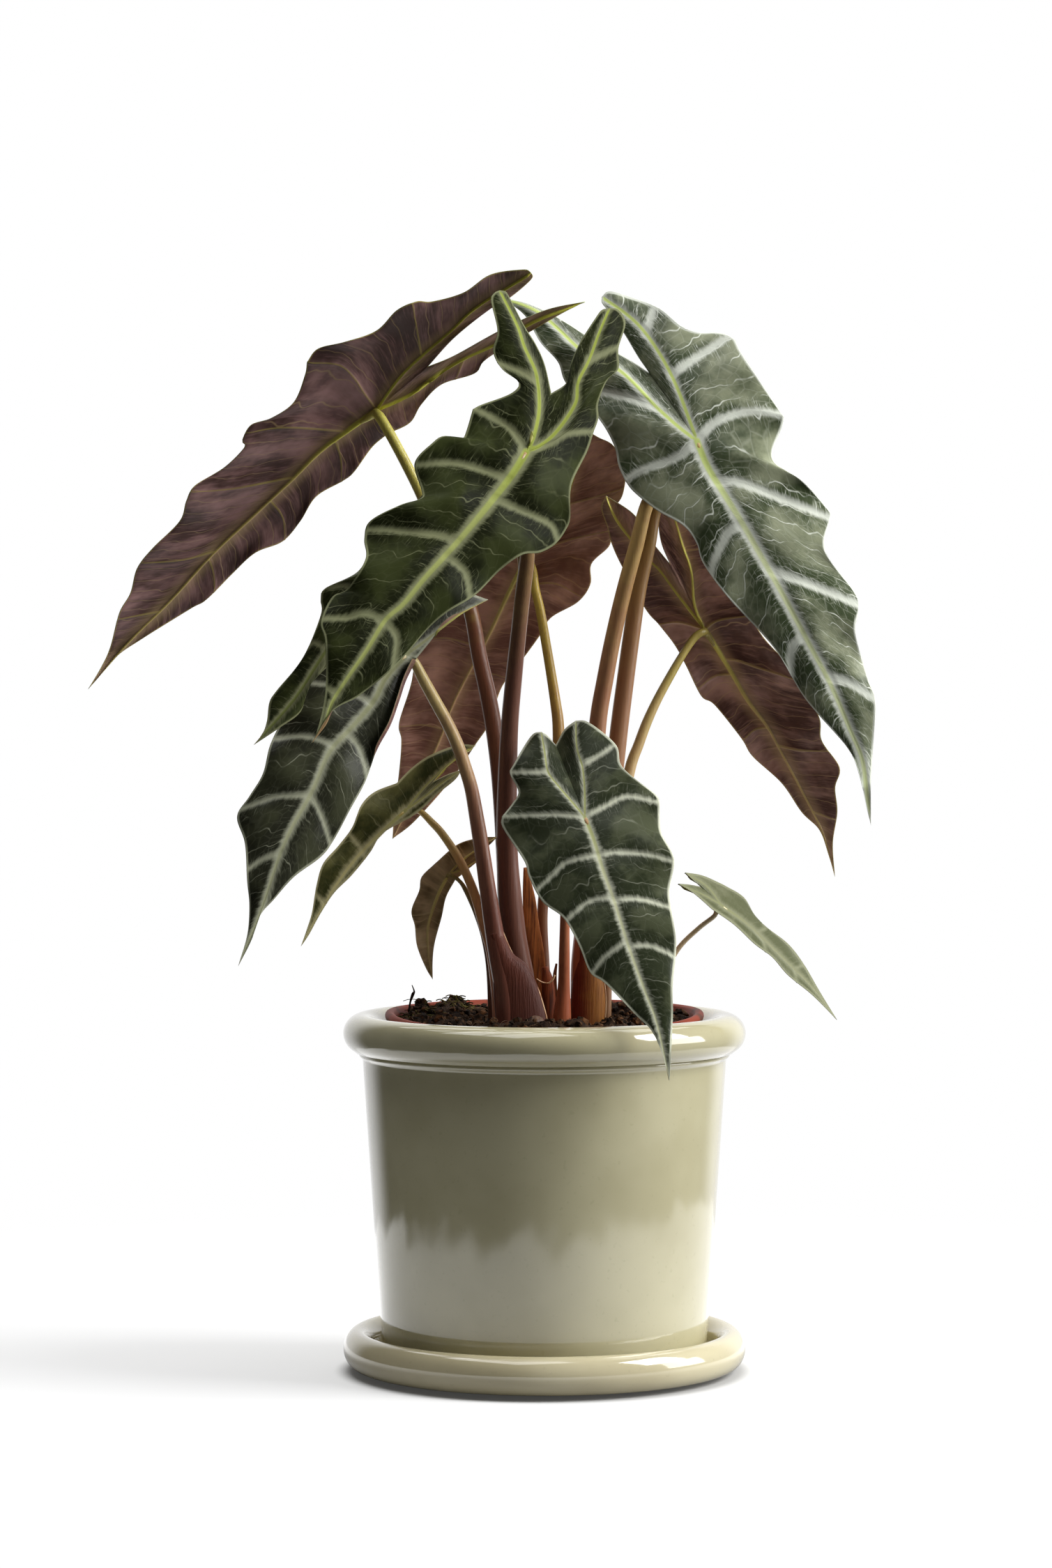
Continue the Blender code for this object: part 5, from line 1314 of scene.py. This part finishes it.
# Leaf 5. The purple backed leaf at the right, turned away from the front, with a small yellow green
# node where its pale stalk joins the midrib.
leaf = dict(
    midrib=[(71.6, 332), (78, 322), (84, 312), (91, 300), (100, 288), (106, 277), (115, 260), (124, 242),
        (130, 221)],
    notch=(56, 361), depth=48, slope=0.3, bend=-0.0006, tilt=-0.4, arch=-0.15, face=-1, waves=4, wave=2,
    midrib_width=(1.9, 0.8), rib_width=(1.1, 0.6),
    left=dict(
        vein=[(61, 346), (52, 358), (45, 365), (33, 380), (27.5, 391.5)],
        lobe=[(25.3, 386), (28, 377.5), (30, 370), (34.5, 360), (45, 341), (51, 334)],
        blade=[(58, 325), (63, 316), (70, 302), (76, 298), (88, 283), (93, 275), (106, 263), (115, 250),
            (123, 242), (127, 231)], inner=[(40, 383), (48, 371)], shoulder_vein=[(60, 335)],
        ribs=[[(84, 312), (76, 311), (70, 306)], [(100, 288), (94, 287), (90, 283)]],
        lobe_ribs=[[(48, 362), (40, 361)]]),
    right=dict(
        vein=[(67, 343), (65.6, 358), (61, 372), (54, 396)],
        lobe=[(62, 392), (70, 378), (76, 364), (86, 350), (92, 338)],
        blade=[(98, 328), (108, 317), (116, 306), (123, 292), (124, 282), (132, 270), (130, 261), (131, 250),
            (129, 236)], inner=[(51, 382), (52, 371)], shoulder_vein=[(78, 336)],
        ribs=[[(79, 318), (86, 318), (95, 315), (110, 306)], [(104, 280), (114, 278), (123, 274)],
            [(120, 250), (127, 247)]], lobe_ribs=[[(63, 367), (73, 368)]]),
    stalk=[(67, 328, 3), (61.5, 320, 3), (55.7, 310, 3.3), (50.3, 300, 3.5), (45.7, 290, 3.8), (42, 280, 4),
        (38.4, 270, 4.3), (34.4, 250, 4.8), (30.6, 220, 5), (28, 185, 5.2), (27, 140, 5.2)], foot_depth=16,
    flat=0.9)
under = dict(dark=(96, 67, 60), light=(202, 160, 149), vein=(225, 200, 131), joint=(225, 217, 107))
grow_leaf("leaf_05", leaf, GREEN_FACE, under, ((152, 112, 78), (186, 154, 108), (157, 142, 70), 0.35, 0.8))


# Leaf 6. The long dark leaf at the left that hangs under the second one, upper face to the front.
# Its stalk leaves the pot in front of all the others, out of a broad pink brown sheath.
leaf = dict(
    midrib=[(-61, 321), (-71, 310), (-76, 300), (-86, 288), (-96, 277), (-104, 259), (-113, 243),
        (-119, 229), (-126, 208), (-131, 195), (-137, 181)],
    notch=(-59, 340), depth=-25, slope=-0.45, bend=0.0012, tilt=0.3, arch=0.2, face=1, waves=4, wave=2,
    midrib_width=(2.6, 1.2), rib_width=(1.5, 0.8),
    left=dict(
        vein=[(-66, 332), (-71, 345), (-74, 360)], lobe=[(-81, 350), (-86, 338), (-95, 330)],
        blade=[(-104, 317), (-112, 302), (-119, 288), (-123, 279), (-126, 267), (-132, 257), (-137.5, 248),
            (-134, 236), (-133, 219), (-132, 208), (-133, 195)], inner=[(-68, 352)],
        shoulder_vein=[(-78, 327)],
        ribs=[[(-78, 300), (-92, 306), (-108, 308)], [(-95, 281), (-107, 284), (-120, 282)],
            [(-107, 259), (-120, 257), (-135, 250)], [(-118, 232), (-126, 229), (-134, 224)]]),
    right=dict(
        vein=[(-50, 329), (-38, 338), (-25, 345)], lobe=[(-36, 340), (-45, 336), (-49, 329), (-57, 319)],
        blade=[(-62, 309), (-65, 300), (-69, 289), (-75, 278), (-80, 264), (-87, 251), (-94, 238),
            (-100, 230), (-112, 221), (-121, 211), (-127, 204), (-131, 193)],
        inner=[(-36, 348), (-48, 346)], shoulder_vein=[(-59, 320)], rolls=[(-0.06, 0.34, 2.4, 165)],
        ribs=[[(-88, 286), (-82, 277), (-80, 266)], [(-104, 258), (-99, 247), (-97, 236)]]),
    stalk=[(-58.5, 317.5, 3.6), (-54.5, 310, 4.2), (-49, 300, 4.5), (-43.5, 290, 4.6), (-38.9, 280, 4.8),
        (-35.5, 270, 4.9), (-32.6, 260, 5.1), (-30.1, 246, 5.5), (-27.5, 230, 6), (-25.2, 214, 6.8),
        (-22.4, 196, 8.2), (-20.4, 186, 9.2), (-18.9, 179, 9.8), (-17.2, 171, 10.6), (-16.2, 160, 11.6),
        (-14.8, 140, 12)], foot_depth=-16.5, flat=0.6, relief=0.65)
upper = dict(
    dark=(34, 35, 24), light=(60, 62, 44), pale=(156, 158, 136), core=(154, 156, 124),
    joint=(138, 140, 100), reach=60, gloss=0.3, threads=0.5, hairs=0.3)
grow_leaf("leaf_06", leaf, upper, BROWN_BACK, ((130, 77, 62), (162, 115, 89), (200, 179, 118), 0.4, 0.8))


# Leaf 7. A dark leaf behind the left side, of which the lower end shows. It is seen almost from
# its edge, with its wavy pale margin turned out.
leaf = dict(
    midrib=[(-55, 374), (-70, 356), (-86, 338), (-99, 320), (-110, 303), (-119, 292), (-130, 280)],
    notch=(-45, 388), depth=-45, slope=-0.25, bend=0.0006, tilt=0.3, arch=0.25, face=1, waves=3, wave=2,
    midrib_width=(2.4, 1.2), rib_width=(1.3, 0.8),
    left=dict(
        vein=[(-52, 385), (-45, 402)], lobe=[(-50, 397), (-57, 389), (-63, 383), (-71, 375)],
        blade=[(-78, 366), (-84, 357), (-98, 350), (-100, 345), (-100, 338), (-108, 319), (-120, 304),
            (-123, 299), (-124, 291), (-126, 285)], inner=[(-44, 396)],
        ribs=[[(-78, 347), (-88, 351), (-97, 350)], [(-97, 323), (-103, 326), (-106, 324)]]),
    right=dict(
        vein=[(-44, 381), (-28, 391)], lobe=[(-32, 383), (-40, 371), (-48, 360)],
        blade=[(-60, 347), (-72, 336), (-84, 326), (-96, 316), (-106, 305), (-109, 295), (-118, 288)],
        inner=[(-36, 391)],
        ribs=[[(-78, 347), (-76, 339), (-77, 332)], [(-97, 323), (-97, 318), (-100, 312)]]),
    stalk=[(-42, 383, 3), (-33, 386, 3.1), (-24, 385, 3.2), (-16, 380, 3.4), (-11, 370, 3.6),
        (-9.5, 354, 3.8), (-11.6, 330, 4), (-14.6, 290, 4.2), (-15.6, 250, 4.3), (-14, 215, 4.3),
        (-12, 192, 4.3), (-10.2, 175, 4.4), (-9, 158, 4.4), (-9, 140, 4.4)], foot_depth=7, flat=0.9)
upper = dict(
    dark=(33, 37, 18), light=(73, 80, 40), pale=(142, 144, 107), core=(117, 125, 68), joint=(102, 112, 53),
    reach=40)
grow_leaf("leaf_07", leaf, upper, BROWN_BACK, ((118, 79, 62), (132, 95, 67), (160, 143, 79), 0.35, 0.8))


# Leaf 8. A narrow half turned olive leaf at the lower left, with a small second lobe behind its
# yellow stalk.
leaf = dict(
    midrib=[(-62, 251), (-81, 233), (-92, 219), (-101, 204), (-109, 190)],
    notch=(-50, 263.5), depth=0, slope=-0.1, bend=0, tilt=-0.6, arch=0.1, face=1, waves=3, wave=1.2,
    midrib_width=(1.9, 1), rib_width=(1.1, 0.7),
    left=dict(
        vein=[(-52, 263), (-41, 273), (-31, 280)], lobe=[(-39, 280), (-51, 275.5), (-59, 270), (-66, 263)],
        blade=[(-76, 259), (-82, 253), (-86, 243), (-92, 235), (-99, 227), (-102, 217), (-104, 205),
            (-106.5, 197)], inner=[(-37, 276), (-44, 270)],
        ribs=[[(-81, 233), (-87, 240), (-88, 241)], [(-98, 209), (-103, 214)]]),
    right=dict(
        vein=[(-54, 256.5), (-46, 263), (-37, 269)],
        lobe=[(-40, 264.5), (-48, 258), (-54, 252), (-60, 247.5)],
        blade=[(-64, 245.5), (-73, 240), (-78, 232), (-86, 222), (-94, 214), (-100, 205), (-105.5, 195)],
        inner=[(-43, 267)], ribs=[[(-81, 233), (-80, 229)], [(-98, 209), (-97, 209)]]),
    stalk=[(-56, 250.5, 2.2), (-50, 245, 2.8), (-45.5, 240, 3), (-38.8, 230, 3.4), (-33.9, 220, 3.7),
        (-30.2, 210, 4.1), (-27.4, 200, 4.4), (-24.4, 190, 4.6), (-22.4, 178, 4.7), (-21, 162, 4.8),
        (-20.8, 140, 4.8)], foot_depth=0, flat=0.9, relief=0.8)
upper = dict(
    dark=(59, 63, 29), light=(126, 123, 73), pale=(216, 209, 159), core=(225, 215, 152),
    joint=(192, 189, 119), reach=30, threads=0.2, hairs=0.2)
under = dict(dark=(119, 81, 75), light=(179, 135, 125), vein=(185, 154, 100), joint=(214, 210, 109))
grow_leaf("leaf_08", leaf, upper, under, ((225, 157, 126), (225, 166, 109), (225, 199, 116), 0.35, 0.8))


# Leaf 9. The youngest of the open leaves in front, a short green heart with pale veins that hangs
# over the rim of the pot from a reddish stalk.
leaf = dict(
    midrib=[(18, 248), (22, 238), (25, 228), (27, 222), (32, 208), (38, 189), (45, 170), (50.5, 155),
        (56, 129.5)],
    notch=(5, 280), depth=-45, slope=-0.6, bend=0.0014, tilt=0, arch=0.2, face=1, waves=4, wave=2,
    midrib_width=(1.9, 0.9), rib_width=(1.2, 0.7),
    left=dict(
        vein=[(12, 255), (6, 262), (1.6, 268), (0.2, 276), (-1.4, 286)],
        lobe=[(-6, 284), (-14, 271), (-15.4, 267), (-11.6, 259), (-15, 253), (-19, 248)],
        blade=[(-18.6, 243), (-9, 228), (-7, 221), (-1, 210), (7, 204), (11, 199), (16, 189), (20.6, 178),
            (27.5, 173), (41, 159), (48, 152), (53, 141)], inner=[(1.5, 284)], shoulder_vein=[(4, 249)],
        ribs=[[(24, 231), (11, 228), (4, 222), (-3, 215)], [(30, 212), (20, 210), (9, 201)],
            [(36, 192), (27, 185), (21, 177)]], lobe_ribs=[[(1.6, 268), (-6, 268), (-14, 268)]]),
    right=dict(
        vein=[(18, 259), (17, 270), (14.5, 279), (14, 291)],
        lobe=[(20, 290), (32, 280), (35, 270), (49.5, 258), (51.6, 254)],
        blade=[(51.6, 247), (52.5, 240), (58, 229), (56, 216), (56.3, 209), (59, 192), (57.5, 173),
            (57.5, 160), (57, 147)], inner=[(9, 287)], shoulder_vein=[(28, 253), (37, 257)],
        ribs=[[(24, 231), (34, 232), (47, 231), (57, 228)], [(31, 211), (43, 211), (56, 207)],
            [(38, 190), (48, 190), (58, 185)]], lobe_ribs=[[(17, 271), (24, 275), (31.5, 280)]]),
    stalk=[(14.5, 238, 3.2), (11, 222, 3.8), (9.5, 210, 4), (9.1, 200, 4.2), (8.9, 186, 4.8),
        (8.7, 172, 5.4), (7.9, 158, 8), (7.7, 140, 8)], foot_depth=-9, flat=0.9, relief=0.45)
upper = dict(
    dark=(47, 53, 34), light=(80, 85, 62), pale=(220, 223, 199), core=(223, 225, 182),
    joint=(189, 194, 125), reach=36, threads=0.25, cloud=0.25, feather=3.4, hairs=0.22)
grow_leaf("leaf_09", leaf, upper, BROWN_BACK, ((178, 97, 64), (186, 116, 80), (200, 158, 111), 0.35, 0.8))


# Leaf 10. The small pale leaf at the lower right, thin and light green, held out on a short thin
# stalk that bends over the rim.
leaf = dict(
    midrib=[(79, 208.5), (92, 199), (108, 183.5), (120, 171.5), (131, 157)],
    notch=(70, 216.5), depth=-15, slope=0, bend=0, tilt=2, arch=0.2, face=1, waves=2, wave=1,
    midrib_width=(1.2, 0.7), rib_width=(0.8, 0.5),
    left=dict(
        vein=[(71, 213), (60, 218)], lobe=[(67, 213.5), (75, 206.5)],
        blade=[(85, 199.5), (94, 191), (102, 185), (109, 177), (120, 168)], inner=[(65, 217.5)],
        ribs=[[(95, 196.5), (98, 192), (99, 187.5)], [(112, 179.5), (113, 174)]]),
    right=dict(
        vein=[(73, 216.5), (63, 223)], lobe=[(71, 221.5), (80, 217.5)],
        blade=[(89, 212), (94, 204), (100, 198), (109, 191), (116, 182), (123, 170)], inner=[(66, 220)],
        ribs=[[(95, 196.5), (99, 198), (98, 200)], [(112, 179.5), (115, 181)]]),
    stalk=[(76, 203.5, 2), (69, 198, 2.1), (60, 189, 2.2), (53, 176, 2.4), (49, 163, 2.6), (47, 140, 2.8)],
    foot_depth=-14, flat=0.9, relief=0.4)
upper = dict(
    dark=(83, 87, 59), light=(110, 112, 87), pale=(132, 134, 107), core=(128, 129, 99),
    joint=(125, 128, 91), reach=20, threads=0.2, feather=1.5, hairs=0.2)
under = dict(dark=(66, 43, 40), light=(103, 76, 70), vein=(107, 87, 55), joint=(124, 122, 61))
# Painted light: the stalk is painted paler than its own tan, for the shade it stands in.
grow_leaf("leaf_10", leaf, upper, under, ((225, 180, 129), (225, 197, 152), (225, 213, 173), 0.35, 0.8))


# Leaf 11. A leaf at the back that is hidden but for the ends of its lobes at the top. Its stalk
# stands beside that of the third leaf.
leaf = dict(
    midrib=[(64, 404), (74, 388), (85, 370), (96, 350), (107, 328), (118, 300)],
    notch=(55, 425), depth=8, slope=-0.2, bend=0, tilt=0, arch=0.2, face=1, waves=3, wave=2,
    midrib_width=(2.2, 1.2), rib_width=(1.3, 0.8),
    left=dict(
        vein=[(54, 413), (44, 425), (34, 440)], lobe=[(34, 430), (40, 418), (44, 406), (50, 397)],
        blade=[(58, 388), (68, 377), (75, 362), (86, 347), (98, 332), (109, 315)], inner=[(42, 433)],
        ribs=[[(80, 378), (76, 372), (73, 366)], [(100, 342), (94, 340), (93, 338)]]),
    right=dict(
        vein=[(66, 416), (66, 432), (60, 449)], lobe=[(70, 446), (80, 436), (86, 424), (94, 412)],
        blade=[(98, 398), (102, 386), (108, 370), (110, 352), (115, 336), (118, 316)], inner=[(57, 437)],
        ribs=[[(80, 378), (92, 379), (103, 383)], [(100, 342), (108, 341), (113, 342)]]),
    stalk=[(57, 396, 4), (49.6, 385, 4.8), (46.5, 370, 5.6), (42, 350, 6.1), (39, 330, 6.4),
        (36.3, 310, 6.6), (33.7, 290, 6.8), (31.4, 270, 6.9), (27, 235, 7), (21, 195, 7.2), (18, 165, 7.2),
        (17.4, 140, 7.2)], foot_depth=17, flat=0.9)
upper = dict(
    dark=(37, 46, 25), light=(62, 74, 44), pale=(155, 162, 125), core=(187, 192, 139), joint=(159, 171, 90))
grow_leaf("leaf_11", leaf, upper, BROWN_BACK, ((155, 88, 58), (152, 111, 78), (155, 127, 70), 0.3, 0.85))


# Leaf 12. A small folded leaf that hangs behind the lower left, olive on one half, with the grey
# purple back of the other half curled round.
leaf = dict(
    midrib=[(-43, 222), (-48, 212), (-52, 199), (-52, 187), (-50, 175)],
    notch=(-31, 231), depth=5, slope=0, bend=0, tilt=0.05, arch=-0.1, face=-1, waves=2, wave=1,
    midrib_width=(1.3, 0.7), rib_width=(0.8, 0.5),
    left=dict(
        vein=[(-36, 229), (-21, 239)], lobe=[(-29, 238.5), (-39, 235.5), (-49, 227)],
        blade=[(-55, 221), (-56, 215), (-59.5, 206), (-58, 199), (-57, 190), (-53, 180)],
        inner=[(-25, 235)],
        ribs=[[(-50, 205), (-56, 204), (-59, 204)], [(-52, 190), (-56, 189), (-57, 188)]]),
    right=dict(
        vein=[(-36, 225), (-27, 230)], lobe=[(-31, 227), (-40, 219.5)],
        blade=[(-44, 212), (-46, 203), (-49, 192), (-50, 184)], inner=[(-29, 230)]),
    stalk=[(-39.6, 220.5, 1.6), (-37, 218, 1.7), (-35.2, 215, 2), (-33.2, 211, 2.2), (-30.6, 205, 2.4),
        (-27.2, 195, 2.8), (-24.8, 182, 3), (-23.8, 165, 3.2), (-23.6, 140, 3.2)], foot_depth=9, flat=0.9)
upper = dict(
    dark=(84, 71, 40), light=(122, 105, 64), pale=(196, 172, 122), core=(172, 155, 94),
    joint=(172, 159, 91))
under = dict(dark=(111, 90, 55), light=(225, 194, 152), vein=(225, 202, 156), joint=(225, 209, 131))
grow_leaf("leaf_12", leaf, upper, under, ((118, 79, 62), (123, 87, 62), (160, 140, 79), 0.35, 0.8))


# Old sheaths. Dry, papery orange brown remains of leaf stalks that have died, still clasped round
# the stems in the soil. Each is given by (across, depth, height, width, thickness), foot to tip.
SHEATH_STEPS = 60
SHEATH_SIDES = 20
SHEATH_RIDGES = 0.02
OLD_SHEATHS = {
    "papery_sheath": [(-2.6, 6.4, 140, 6.6, 1.6), (-2.6, 6.4, 168, 7.0, 1.6),
                      (-3.6, 6.4, 184, 7.4, 1.4), (-5.8, 6.4, 200, 6.6, 1.3),
                      (-7.0, 6.2, 212, 5.4, 1.2), (-8.6, 6.0, 225, 1.6, 1.0)],
    "split_sheath": [(2.4, -2.6, 140, 5.6, 3.2), (2.2, -2.6, 160, 5.8, 3.2),
                     (1.6, -2.6, 173, 5.6, 2.6), (0.2, -2.4, 181, 2.6, 1.6)],
    "sheath_tip": [(5.4, 3.0, 140, 3.0, 1.8), (4.6, 3.0, 166, 2.6, 1.6),
                   (4.6, 3.0, 176, 1.8, 1.3), (5.4, 3.0, 182, 0.9, 0.9)],
}


def dry_skin(name, pale, dark):
    """Dead, papery skin that is streaked along, with a few darker blotches."""
    pale, dark = shade(pale), shade(dark)
    made, tree = finish_named(name, 0.6)
    where = coordinates(tree)[0]
    streaks = streaky(where, (1300.0, 1300.0, 60.0), 4.0)
    blotch = grain(where, 110.0, 3.0)
    colour = tint(fade(streaks, 0.4, 0.7), pale, dark)
    colour = tint(fade(blotch, 0.55, 0.75, 0.0, 0.6), colour, tuple(0.5 * c for c in dark))
    return finished(made, colour, bump(streaks, 0.4, 0.0006))


dry = {"papery_sheath": dry_skin("papery skin", (226, 140, 72), (124, 66, 34)),
       "split_sheath": dry_skin("split skin", (150, 70, 26), (70, 30, 12)),
       "sheath_tip": dry_skin("tip skin", (180, 110, 60), (100, 54, 28))}
for name, places in OLD_SHEATHS.items():
    line = curve([(x, z, y, wide, thick) for x, y, z, wide, thick in places], SHEATH_STEPS)
    loops = rings(line[:, [0, 2, 1]], line[:, 3] / 2, line[:, 4] / 2, SHEATH_SIDES, SHEATH_RIDGES)
    settle(tube("dry_" + name, loops, dry[name], line[:, 1]), name, slot=name)


# Living sheaths. The feet of the stalks of leaves six and three open into broad thin wings that
# wrap half round the stems behind them. They are streaked along, with a pale dry margin, which
# also runs along the open cup of the split sheath. A wing's rows are (left, right, height).
MARGIN_WIDTH = 0.8
MARGIN_SIDES = 8
MARGIN_OUT = 0.15
MARGIN_FORWARD = 0.6
WING_STEPS = 70
WING_SIDES = 40
SIXTH_WING = [(-26.4, -18.6, 197.0), (-24.9, -15.6, 190.0), (-24.2, -12.6, 184.6), (-23.9, -9.0, 181.0),
              (-23.5, -6.0, 177.6), (-22.9, -2.8, 171.0), (-22.2, -0.6, 164.0), (-21.6, 0.8, 158.0),
              (-20.8, 1.6, 150.0), (-20.0, 0.6, 140.0)]
SIXTH_DEPTH = -16.6
SIXTH_HALF_DEPTH = 4.5
THIRD_WING = [(15.2, 20.4, 196.0), (14.2, 22.4, 188.0), (12.6, 25.6, 178.0), (11.8, 27.2, 168.0),
              (11.8, 27.0, 158.0), (12.4, 26.0, 148.0), (13.0, 25.0, 140.0)]
THIRD_DEPTH = 1.6
THIRD_HALF_DEPTH = 5.6
CUP_DEPTH = -5.4
CUP_STEPS = 40
CUP_RIM = [(-3.6, 175.6), (-1.2, 174.2), (1.6, 173.8), (3.6, 175.2), (4.6, 177.4)]


def wing_skin(name, left, right, start, end):
    """Satin sheath skin that turns from one tone to another between two places across (mm)."""
    left, right = shade(left), shade(right)
    made, tree = finish_named(name, 0.42, 0.2)
    where, x = coordinates(tree)[:2]
    streaks = streaky(where, (1500.0, 1500.0, 60.0))
    cloud = grain(where, 110.0, 3.0)
    moved = sum_of(x, product(sum_of(cloud, -0.5), 0.008))
    colour = tint(fade(moved, start / 1000, end / 1000), left, right)
    darker = tuple(0.4 * c for c in left)
    colour = tint(fade(streaks, 0.44, 0.72, 0.0, 0.55), colour, darker)
    return finished(made, colour, bump(streaks, 0.45, 0.0008))


def wing(name, edges, depth, half_depth, skin, slot):
    """A thin wing between two edges of (left, right, height), with a rolled margin at its right."""
    line = curve([(left, height, right) for left, right, height in edges], WING_STEPS)
    left, height, right = line[::-1].T
    middles = np.column_stack([(left + right) / 2, np.full(len(left), depth), height])
    settle(tube(name, rings(middles, (right - left) / 2, half_depth, WING_SIDES), skin, height), slot=slot)
    rim = np.column_stack([right + MARGIN_OUT, np.full(len(left), depth - MARGIN_FORWARD), height])
    loops = rings(rim, MARGIN_WIDTH / 2, MARGIN_WIDTH / 2, MARGIN_SIDES)
    settle(tube(name + "_margin", loops, pale_margin, height), slot=slot)


pale_margin = dry_skin("pale margin", (236, 196, 150), (176, 112, 72))
sixth_skin = wing_skin("sixth wing skin", (120, 68, 54), (86, 50, 42), -22, -2)
wing("leaf_06_sheath_wing", SIXTH_WING, SIXTH_DEPTH, SIXTH_HALF_DEPTH, sixth_skin, "leaf_06_petiole")
third_skin = wing_skin("third wing skin", (128, 60, 44), (184, 122, 60), 15, 26)
wing("leaf_03_sheath_wing", THIRD_WING, THIRD_DEPTH, THIRD_HALF_DEPTH, third_skin, "leaf_03_petiole")

across, height = curve(CUP_RIM, CUP_STEPS).T
rim = np.column_stack([across, np.full(len(across), CUP_DEPTH), height])
loops = rings(rim, MARGIN_WIDTH / 2, MARGIN_WIDTH / 2, MARGIN_SIDES)
settle(tube("dry_cup_rim", loops, pale_margin, height), slot="split_sheath")


# Twig. A dead, crooked end of root as thin as a pin, left in the mix when the plant was potted. It
# stands up out of the soil at the back left.
TWIG = [(-61.0, 160.0, 12.0, 0.9), (-60.4, 164.0, 12.0, 0.8), (-59.2, 167.6, 11.5, 1.3),
        (-58.6, 169.0, 11.5, 0.7), (-59.6, 171.8, 11.0, 0.35)]
TWIG_STEPS = 40
TWIG_SIDES = 8
TWIG_RIDGES = 0.1

line = curve(TWIG, TWIG_STEPS)
loops = rings(line[:, [0, 2, 1]], line[:, 3] / 2, line[:, 3] / 2, TWIG_SIDES, TWIG_RIDGES)
wood = bark("dead twig", (0.020, 0.010, 0.006), (0.075, 0.038, 0.020))
settle(tube("dead_twig", loops, wood, line[:, 1]), slot="potting_soil")


# Corm. The brown top of the swollen stem, half sunk in the soil in front of the stalks. It is a
# rough knob, wrapped in the dry fibres of old stalk feet.
CORM_MIDDLE = (-4.0, -25.0, 156.0)
CORM_RADIUS = 4.6
CORM_ROUGHNESS = 0.10
CORM_KNOBS = 2.6

shape = bmesh.new()
bmesh.ops.create_icosphere(shape, subdivisions=5, radius=1.0)
for vertex in shape.verts:
    way = vertex.co.normalized()
    rough = 1.0 + CORM_ROUGHNESS * noise.fractal(way * CORM_KNOBS, 0.8, 2.1, 5)
    vertex.co = Vector(CORM_MIDDLE) * MM + way * CORM_RADIUS * MM * rough
corm_skin = dry_skin("corm skin", (96, 66, 44), (52, 36, 26))
settle(keep_shape("fibrous_corm", shape, corm_skin), "corm", slot="corm")
